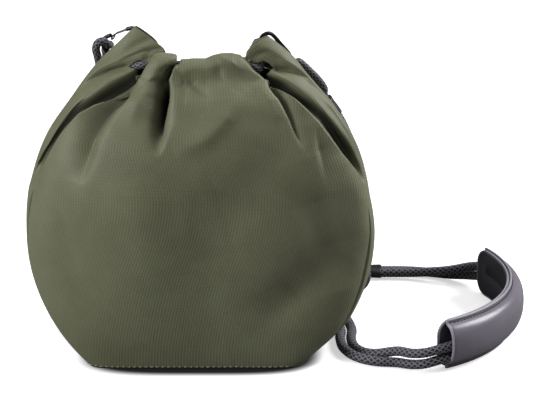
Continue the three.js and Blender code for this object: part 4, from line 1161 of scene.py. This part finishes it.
# %% Clips and gates
PIVOT_STATION, GATE_LENGTH, GATE_GAP = 10.5, 14.5, 0.3
ROD_STEP, ROD_SIDES, WIRE_STEP, WIRE_SIDES = 0.35, 24, 0.25, 14


def bend(station, start):
    """Half turn of the ring round one end, in eight steps from a starting angle."""
    turns = np.radians(start + 22.5 * np.arange(9))
    return [(station + HALF_SPACING * np.cos(t), HALF_SPACING * np.sin(t), 0) for t in turns]


def rounded_rod(name, line, radius, sides):
    """Round bar with domed ends: the radius falls as a quarter circle over the last radius of it."""
    far = distances(line)
    left = np.clip(np.minimum(far, far[-1] - far) / radius, 0, 1)
    size = radius * np.sqrt(np.maximum(1 - (1 - left) ** 2, 0.004))
    return surface(name, rod(line, size[:, None], sides), closed=True, capped=True)


def clip(side):
    """One clip: its rod, and its gate as a wire with two legs beside the rod's pivot end."""
    nose = PIVOT_STATION + GATE_LENGTH - ROD / 4
    middle = ((HOOK_STATION + FAR_STATION) / 2, -HALF_SPACING, 0)
    local = [(PIVOT_STATION + 1, HALF_SPACING, 0), *bend(HOOK_STATION, 90), middle,
             *bend(FAR_STATION, -90), (nose, HALF_SPACING, 0)]
    line, _ = smooth_route([on_clip(side, *p) for p in local], ROD_STEP)
    body = rounded_rod(side + "_clip_rod", line, ROD / 2, ROD_SIDES)
    finish_piece(body, clip_black, side + "_clip", "clip", side + "_clip_body")
    leg_offset = ROD / 2 + GATE_GAP + WIRE / 2
    drop = ROD / 2 + GATE_GAP + WIRE
    bar = PIVOT_STATION + GATE_LENGTH

    def leg(hand):
        return [(PIVOT_STATION - 1, HALF_SPACING, hand * leg_offset),
                (PIVOT_STATION + 5, HALF_SPACING, hand * leg_offset),
                (bar - 4, HALF_SPACING - 0.2, hand * leg_offset),
                (bar - 1.2, HALF_SPACING - drop / 2, hand * leg_offset),
                (bar - 0.1, HALF_SPACING - drop + 0.3, hand * (leg_offset - 0.3)),
                (bar, HALF_SPACING - drop, hand * (leg_offset - 1.1))]

    line, _ = smooth_route([on_clip(side, *p) for p in [*leg(1), *leg(-1)[::-1]]], WIRE_STEP)
    gate = rounded_rod(side + "_gate_wire", line, WIRE / 2, WIRE_SIDES)
    finish_piece(gate, wire_steel, side + "_gate", "wire", side + "_clip_gate")
    print(side, "clip and gate made")


clip("left")
clip("right")

# %% [markdown]
# Where ropes join, a sleeve of heat-shrink tube is drawn over them. It is wide over two ropes and
# narrow over one, so it is an oval carried along with its width falling. Its ends are rounded, and it
# is drawn in a little where the two ropes meet.

# %% Splice sleeve and ferrule
SLEEVE_WALL = 1.2
SLEEVE_STEPS, SLEEVE_SIDES = 60, 64
END_ROUND, END_SHARE = 1.1, 0.22
WAIST_DEPTH, WAIST_AT, WAIST_LONG = 0.05, 0.3, 0.18


def oval_sleeve(name, start, end, across, wide, narrow, high, *nodes):
    """Oval carried from start to end: the width eases from wide to narrow, and both ends are domed."""
    forward = unit(end - start)
    right = unit(across - forward * (across @ forward))
    up = np.cross(forward, right)
    length = np.linalg.norm(end - start)
    t = np.linspace(0, 1, SLEEVE_STEPS)[:, None]
    turn = 2 * np.pi * np.arange(SLEEVE_SIDES)[None, :] / SLEEVE_SIDES
    width = wide + (narrow - wide) * step_up(t, 0, 1)
    near_end = np.clip(np.minimum(t, 1 - t) * length / END_ROUND, 0, 1)
    dome = 1 - (1 - np.sqrt(1 - (1 - near_end) ** 2)) * END_SHARE
    draw = WAIST_DEPTH * np.exp(-((t - WAIST_AT) / WAIST_LONG) ** 2)
    waist = 1 - draw * np.abs(np.sin(turn)) ** 3
    ring = (right * (np.cos(turn) * width / 2 * dome)[..., None]
            + up * (np.sin(turn) * high / 2 * dome * waist)[..., None])
    made = surface(name, start + forward * (t * length)[..., None] + ring, closed=True, capped=True)
    return finish_piece(made, shrink, "pouch", "sleeve", *nodes)


band_height = STRAP + 2 * SLEEVE_WALL
sleeve_rest = band_height / 2 + 0.1
sleeve_start = np.array([SPLICE_END + 2 * CORD_GAP, SPLICE_BACK, sleeve_rest])
sleeve_end = np.array([SPLICE_END - SLEEVE_LENGTH - 2 * CORD_GAP, SPLICE_BACK, sleeve_rest])
splice = oval_sleeve("splice_tube", sleeve_start, sleeve_end, np.array([0, 1.0, 0]),
                     2 * STRAP + CORD_GAP + 2 * SLEEVE_WALL, band_height, band_height, "splice_sleeve")
ferrule = oval_sleeve("tail_ferrule_tube", TAIL_START + TAIL_TUCK - 2 * CORD_GAP * TAIL_FORWARD,
                      TAIL_END + TAIL_TUCK + 2 * CORD_GAP * TAIL_FORWARD, TAIL_ACROSS,
                      2 * BIGHT + 1 + 2 * SLEEVE_WALL, band_height, band_height, "tail_ferrule")
print("splice tube and ferrule tube are", round(band_height, 1), "mm high")

# %% [markdown]
# The shoulder pad is a sandwich. A firm curved backing with rounded corners stands on its edge, with
# a bound rim. It is made as rings: the outline drawn in towards a line along the middle, over one
# face and back over the other. The binding is a flat oval carried round the outline.

# %% Backing of the pad
PAD_INNER, PAD_HEIGHT, PAD_FROM, PAD_TO = 110.0, 40.0, -60.0, 30.5
PAD_OVERHANG, PAD_CORNER, BACKING = 3.6, 12.0, 2.4
BACK_MIDDLE = PAD_INNER + BACKING / 2
OUTLINE_STEPS, BINDING_SIDES, BINDING_HALF = 420, 12, 1.05
BACKING_RINGS = [(1, 0.5), (0.99, 0.95), (0.93, 1), (0.5, 1), (0, 1), (0, 0.1 / BACKING),
                 (0.5, 0.1 / BACKING), (0.93, 0.1 / BACKING), (0.99, 0.15 / BACKING)]


def backing_outline():
    """Angle and height round the backing's edge: a rectangle with round corners, in even steps."""
    reach = np.radians(PAD_TO - PAD_FROM + 2 * PAD_OVERHANG) * BACK_MIDDLE
    corner = np.radians(np.linspace(0, 90, 14))
    far_x, far_y = reach - PAD_CORNER, PAD_HEIGHT - PAD_CORNER
    edge = np.concatenate([
        np.array([x, y]) + PAD_CORNER * np.column_stack([np.cos(start + corner), np.sin(start + corner)])
        for x, y, start in [(far_x, far_y, 0), (PAD_CORNER, far_y, np.pi / 2),
                            (PAD_CORNER, PAD_CORNER, np.pi), (far_x, PAD_CORNER, 1.5 * np.pi)]])
    closed = np.vstack([edge, edge[:1]])
    far = distances(closed)
    even = np.linspace(0, far[-1], OUTLINE_STEPS, endpoint=False)
    turn = np.radians(PAD_FROM - PAD_OVERHANG) + np.interp(even, far, closed[:, 0]) / BACK_MIDDLE
    return turn, np.interp(even, far, closed[:, 1])


def pad_backing():
    turn, high = backing_outline()
    centre_turn, centre_high = (turn.max() + turn.min()) / 2, PAD_HEIGHT / 2
    flat_half = (turn.max() - turn.min()) / 2 - PAD_CORNER / PAD_INNER
    spine = np.clip(turn, centre_turn - flat_half, centre_turn + flat_half)
    rings = [round_the_pad(spine + (turn - spine) * share, PAD_INNER + BACKING * through,
                           centre_high + (high - centre_high) * share)
             for share, through in BACKING_RINGS]
    made = surface("pad_back", np.array([*rings, rings[0]]), closed=True)
    finish_piece(made, satin_back, "shoulder_pad", "webbing", "pad_backing")
    edge = round_the_pad(turn, BACK_MIDDLE, high)
    inward = unit(round_the_pad(spine, BACK_MIDDLE, centre_high + (high - centre_high) * 0.9) - edge)
    out = round_the_pad(turn, 1.0, 0.0) - round_the_pad(turn, 0.0, 0.0)
    ring = np.linspace(0, 2 * np.pi, BINDING_SIDES, endpoint=False)[None, :, None]
    tube = ((edge + inward)[:, None] + inward[:, None] * BINDING_HALF * np.cos(ring)
            + out[:, None] * (BACKING / 2 + 0.12) * np.sin(ring))
    rim = surface("pad_back_rim", np.concatenate([tube, tube[:1]]), closed=True)
    finish_piece(rim, pad_edge, "shoulder_pad", "webbing")
    return made, rim


pad_back, pad_rim = pad_backing()
print("the backing is", PAD_HEIGHT, "mm high and", BACKING, "mm thick")

# %% [markdown]
# A leather face is sewn to the backing along two flat margins and swells between them over the two
# ropes. Its cut edge is painted, which shows as a thin pale cord all round.

# %% Leather face of the pad
HIDE, HIDE_GAP = 2.0, 0.3
LOWER_MARGIN, UPPER_MARGIN, PAD_CROWN, PAD_SQUARE = 5.0, 3.4, 9.8, 2.3
SECTION_STEPS, FACE_STEPS, FACE_SMOOTHING = 90, 150, 6
END_STEPS, END_DRAW = 2.0, 0.5
RIM_SECTION, RIM_STEPS, RIM_SIDES, RIM_APART = 60, 120, 10, 0.05


def hide_section(count):
    """Radius and height of the leather's middle line: flat margins and a squared crown between."""
    seat = PAD_INNER + BACKING + HIDE_GAP + HIDE / 2
    centre = (LOWER_MARGIN + PAD_HEIGHT - UPPER_MARGIN) / 2
    turn = np.linspace(0, np.pi, count)
    power = 2 / PAD_SQUARE
    rise = np.maximum(np.sin(turn), 0) ** power
    along = (centre - LOWER_MARGIN) * np.sign(np.cos(turn)) * np.abs(np.cos(turn)) ** power
    radius = np.concatenate([[seat, seat], seat + PAD_CROWN * rise, [seat, seat]])
    height = np.concatenate([[0.2, LOWER_MARGIN / 2], centre - along,
                             [PAD_HEIGHT - UPPER_MARGIN / 2, PAD_HEIGHT - 0.2]])
    far = distances(np.column_stack([radius, height]))
    even = np.linspace(0, far[-1], count)
    section = np.column_stack([np.interp(even, far, radius), np.interp(even, far, height)])
    for _ in range(FACE_SMOOTHING):
        section[1:-1] = (section[:-2] + 2 * section[1:-1] + section[2:]) / 4
    return section


def pad_face():
    """The section's two sides carried along the pad, drawn half way in at both ends."""
    middle = hide_section(SECTION_STEPS)
    along = unit(np.gradient(middle, axis=0))
    square = np.column_stack([along[:, 1], -along[:, 0]]) * HIDE / 2
    section = np.concatenate([middle + square, (middle - square)[::-1]])
    middle = np.concatenate([middle, middle[::-1]])
    turn = np.radians(np.linspace(PAD_TO, PAD_FROM, FACE_STEPS))
    fall = np.minimum(np.arange(FACE_STEPS), FACE_STEPS - 1 - np.arange(FACE_STEPS)) / END_STEPS
    round_end = (1 - np.sqrt(1 - (1 - np.clip(fall, 0, 1)) ** 2)) * END_DRAW
    shaped = section + (middle - section) * round_end[:, None, None]
    grid = round_the_pad(turn[:, None], shaped[..., 0], shaped[..., 1])
    made = surface("pad_hide_face", grid, closed=True, capped=True)
    finish_piece(made, pad_hide, "shoulder_pad", "leather", "pad_leather")
    return made


def pad_edges():
    """Painted edge of the leather: a thin tube along its near end, top, far end and bottom."""
    radius, height = hide_section(RIM_SECTION).T
    low, high = np.radians(PAD_FROM), np.radians(PAD_TO)
    along = np.linspace(low, high, RIM_STEPS)
    loop = np.concatenate([round_the_pad(low, radius, height),
                           round_the_pad(along, radius[-1], height[-1]),
                           round_the_pad(high, radius[::-1], height[::-1]),
                           round_the_pad(along[::-1], radius[0], height[0])])
    apart = np.linalg.norm(np.diff(loop, axis=0, append=loop[:1]), axis=1) > RIM_APART
    tube = rod(loop[apart], HIDE / 2 + 0.1, RIM_SIDES)
    made = surface("pad_painted_edge", np.concatenate([tube, tube[:1]]), closed=True)
    return finish_piece(made, pad_edge, "shoulder_pad", "leather")


hide_face = pad_face()
painted_edge = pad_edges()
print("the leather stands out by", PAD_CROWN, "mm")

# %% [markdown]
# Two rows of stitches hold the leather, and one runs along the lower edge of the front, where the
# panel is sewn to the base. Each stitch is a short six-sided rod with rounded ends, and a row is one
# mesh: the same rod placed at even steps along a line.

# %% Stitches
RINGS, CORNERS = 7, 6
PAD_STITCHES = {"lower": 4.0, "upper": 37.4}
PAD_STITCH, BASE_STITCH = (2.5, 1.4, 3.4), (2.4, 0.7, 4.4)
STITCH_ROW = 2


def stitch_row(name, line, outs, sizes, material, body, slot):
    """Row of stitches along a line; sizes are a stitch's length, its thickness and the spacing."""
    length, thick, every = sizes
    far = distances(line)
    centres = np.arange(every, far[-1] - every / 2, every)

    def read(values, at):
        return np.stack([np.interp(at, far, values[:, k]) for k in range(3)], 1)

    at = read(line, centres)
    ahead = unit(read(line, centres + 0.5) - at)
    side = unit(np.cross(ahead, read(outs, centres)))
    lift = np.cross(side, ahead)
    t = np.linspace(-1, 1, RINGS)[:, None]
    ring = np.linspace(0, 2 * np.pi, CORNERS, endpoint=False)
    width = thick / 2 * np.sqrt(np.maximum(1 - t ** 4, 0.02))
    along, across, up = np.broadcast_arrays(t * length / 2, width * np.cos(ring), width * np.sin(ring))
    points = (at[:, None] + along.reshape(-1, 1) * ahead[:, None] + across.reshape(-1, 1) * side[:, None]
              + up.reshape(-1, 1) * lift[:, None])
    count = RINGS * CORNERS
    faces = grid_faces(RINGS, CORNERS, True).tolist()
    faces += [list(range(CORNERS))[::-1], list(range(count - CORNERS, count))]
    listed = [[corner + k * count for corner in face] for k in range(len(at)) for face in faces]
    print(name, "has", len(at), "stitches")
    return finish_piece(mesh_object(name, points, listed), material, body, slot)


face_radius, face_height = hide_section(SECTION_STEPS).T
pad_turn = np.radians(np.linspace(PAD_FROM + 1.4, PAD_TO - 1.4, 200))
pad_out = np.column_stack([np.cos(pad_turn), np.sin(pad_turn), np.zeros(200)])
for label, height in PAD_STITCHES.items():
    at = np.interp(height, face_height, face_radius) + HIDE / 2 + 0.15
    row = round_the_pad(pad_turn, at, height)
    stitch_row("pad_stitches_" + label, row, pad_out, PAD_STITCH, pad_thread,
                               "shoulder_pad", "leather")
base_out = outward(front_grid)[STITCH_ROW, 4:-4]
base_line = front_grid[STITCH_ROW, 4:-4] + base_out * 0.1
stitch_row("base_stitches", base_line, base_out, BASE_STITCH, stitch_thread, "pouch", "ripstop")

# %% [markdown]
# The table is a plain pale plane. It glows as white as the photograph's background. Close round the
# base it is painted dark, as the shadow is where the bag meets the table, out to a squared oval.

# %% Table
HALF_TABLE, TABLE_GLOW = 3000, 0.55
SHADE_REACH, SHADE_FADES = (0.088, 0.0585), (0.85, 1.7)

corners = np.array([(-1.0, -1.0, 0), (1, -1, 0), (1, 1, 0), (-1, 1, 0)]) * HALF_TABLE
floor = mesh_object("table", corners, [[0, 1, 2, 3]])
table_white, tree, shader = new_material("table_white")
seen_direct = put(tree, "LightPath").outputs["Is Camera Ray"]
shader.inputs["Roughness"].default_value = 0.9
shader.inputs["Emission Color"].default_value = (1, 1, 1, 1)
place = put(tree, "SeparateXYZ", {0: put(tree, "TexCoord").outputs["Object"]})
far_x = reckon(tree, "POWER", reckon(tree, "DIVIDE", place.outputs[0], SHADE_REACH[0]), 4.0)
far_y = reckon(tree, "POWER", reckon(tree, "DIVIDE", place.outputs[1], SHADE_REACH[1]), 4.0)
reach = reckon(tree, "ADD", far_x, far_y)
clear = put(tree, "MapRange", {0: reach, 1: SHADE_FADES[0], 2: SHADE_FADES[1]},
            interpolation_type="SMOOTHSTEP").outputs[0]
shown = ramp(tree, clear, paint("#141416"), paint("#fdfdfe"))
tree.links.new(ramp(tree, seen_direct, paint("#7f7f81"), shown), shader.inputs["Base Color"])
glow = reckon(tree, "MULTIPLY", reckon(tree, "MULTIPLY", clear, TABLE_GLOW), seen_direct)
tree.links.new(glow, shader.inputs["Emission Strength"])
floor.data.materials.append(table_white)
print("the table is", 2 * HALF_TABLE, "mm wide")

# %% [markdown]
# Four large soft lamps stand round the bag. The key lamp is to the left and a little in front, the
# rim lamp is behind on the right, one hangs above, and a faint one fills the front right. The sky is
# white to the camera and dim to the cloth, so the folds keep their dark sides.

# %% Lamps and sky
KEY_POWER, FILL_POWER, RIM_POWER, TOP_POWER, SKY = 46.0, 0.6, 36.0, 12.0, 0.16


def soft_lamp(name, place, aim, size, power):
    """Square lamp in metres and watts; its turn is the one whose axis points from place to aim."""
    made = bpy.data.lights.new(name, "AREA")
    made.size, made.energy = size, power
    lamp = bpy.data.objects.new(name, made)
    lamp.location = place
    away = np.array(place) - np.array(aim)
    flat = np.hypot(away[0], away[1])
    lamp.rotation_euler = (np.arctan2(flat, away[2]), 0, np.arctan2(away[0], -away[1]))
    bpy.context.scene.collection.objects.link(lamp)
    return lamp


soft_lamp("key_lamp", (-1.9, -1.05, 1.15), (0, 0, 0.12), 0.9, KEY_POWER)
soft_lamp("fill_lamp", (1.4, -1.2, 0.9), (0, 0, 0.12), 1.2, FILL_POWER)
soft_lamp("rim_lamp", (1.5, 0.5, 1.2), (0, 0, 0.15), 0.9, RIM_POWER)
soft_lamp("top_lamp", (0.1, 0.3, 2.2), (0.1, 0, 0), 1.6, TOP_POWER)
sky = bpy.data.worlds.new("pale_sky")
sky.use_nodes = True
sky_tree = sky.node_tree
background = sky_tree.nodes["Background"]
background.inputs["Color"].default_value = (1, 1, 1, 1)
path = put(sky_tree, "LightPath")
strength = reckon(sky_tree, "MULTIPLY_ADD", path.outputs["Is Camera Ray"], 1 - SKY, SKY)
sky_tree.links.new(strength, background.inputs["Strength"])
bpy.context.scene.world = sky
bpy.context.scene.view_settings.view_transform = "Standard"
print("lamps:", len(bpy.data.lights))
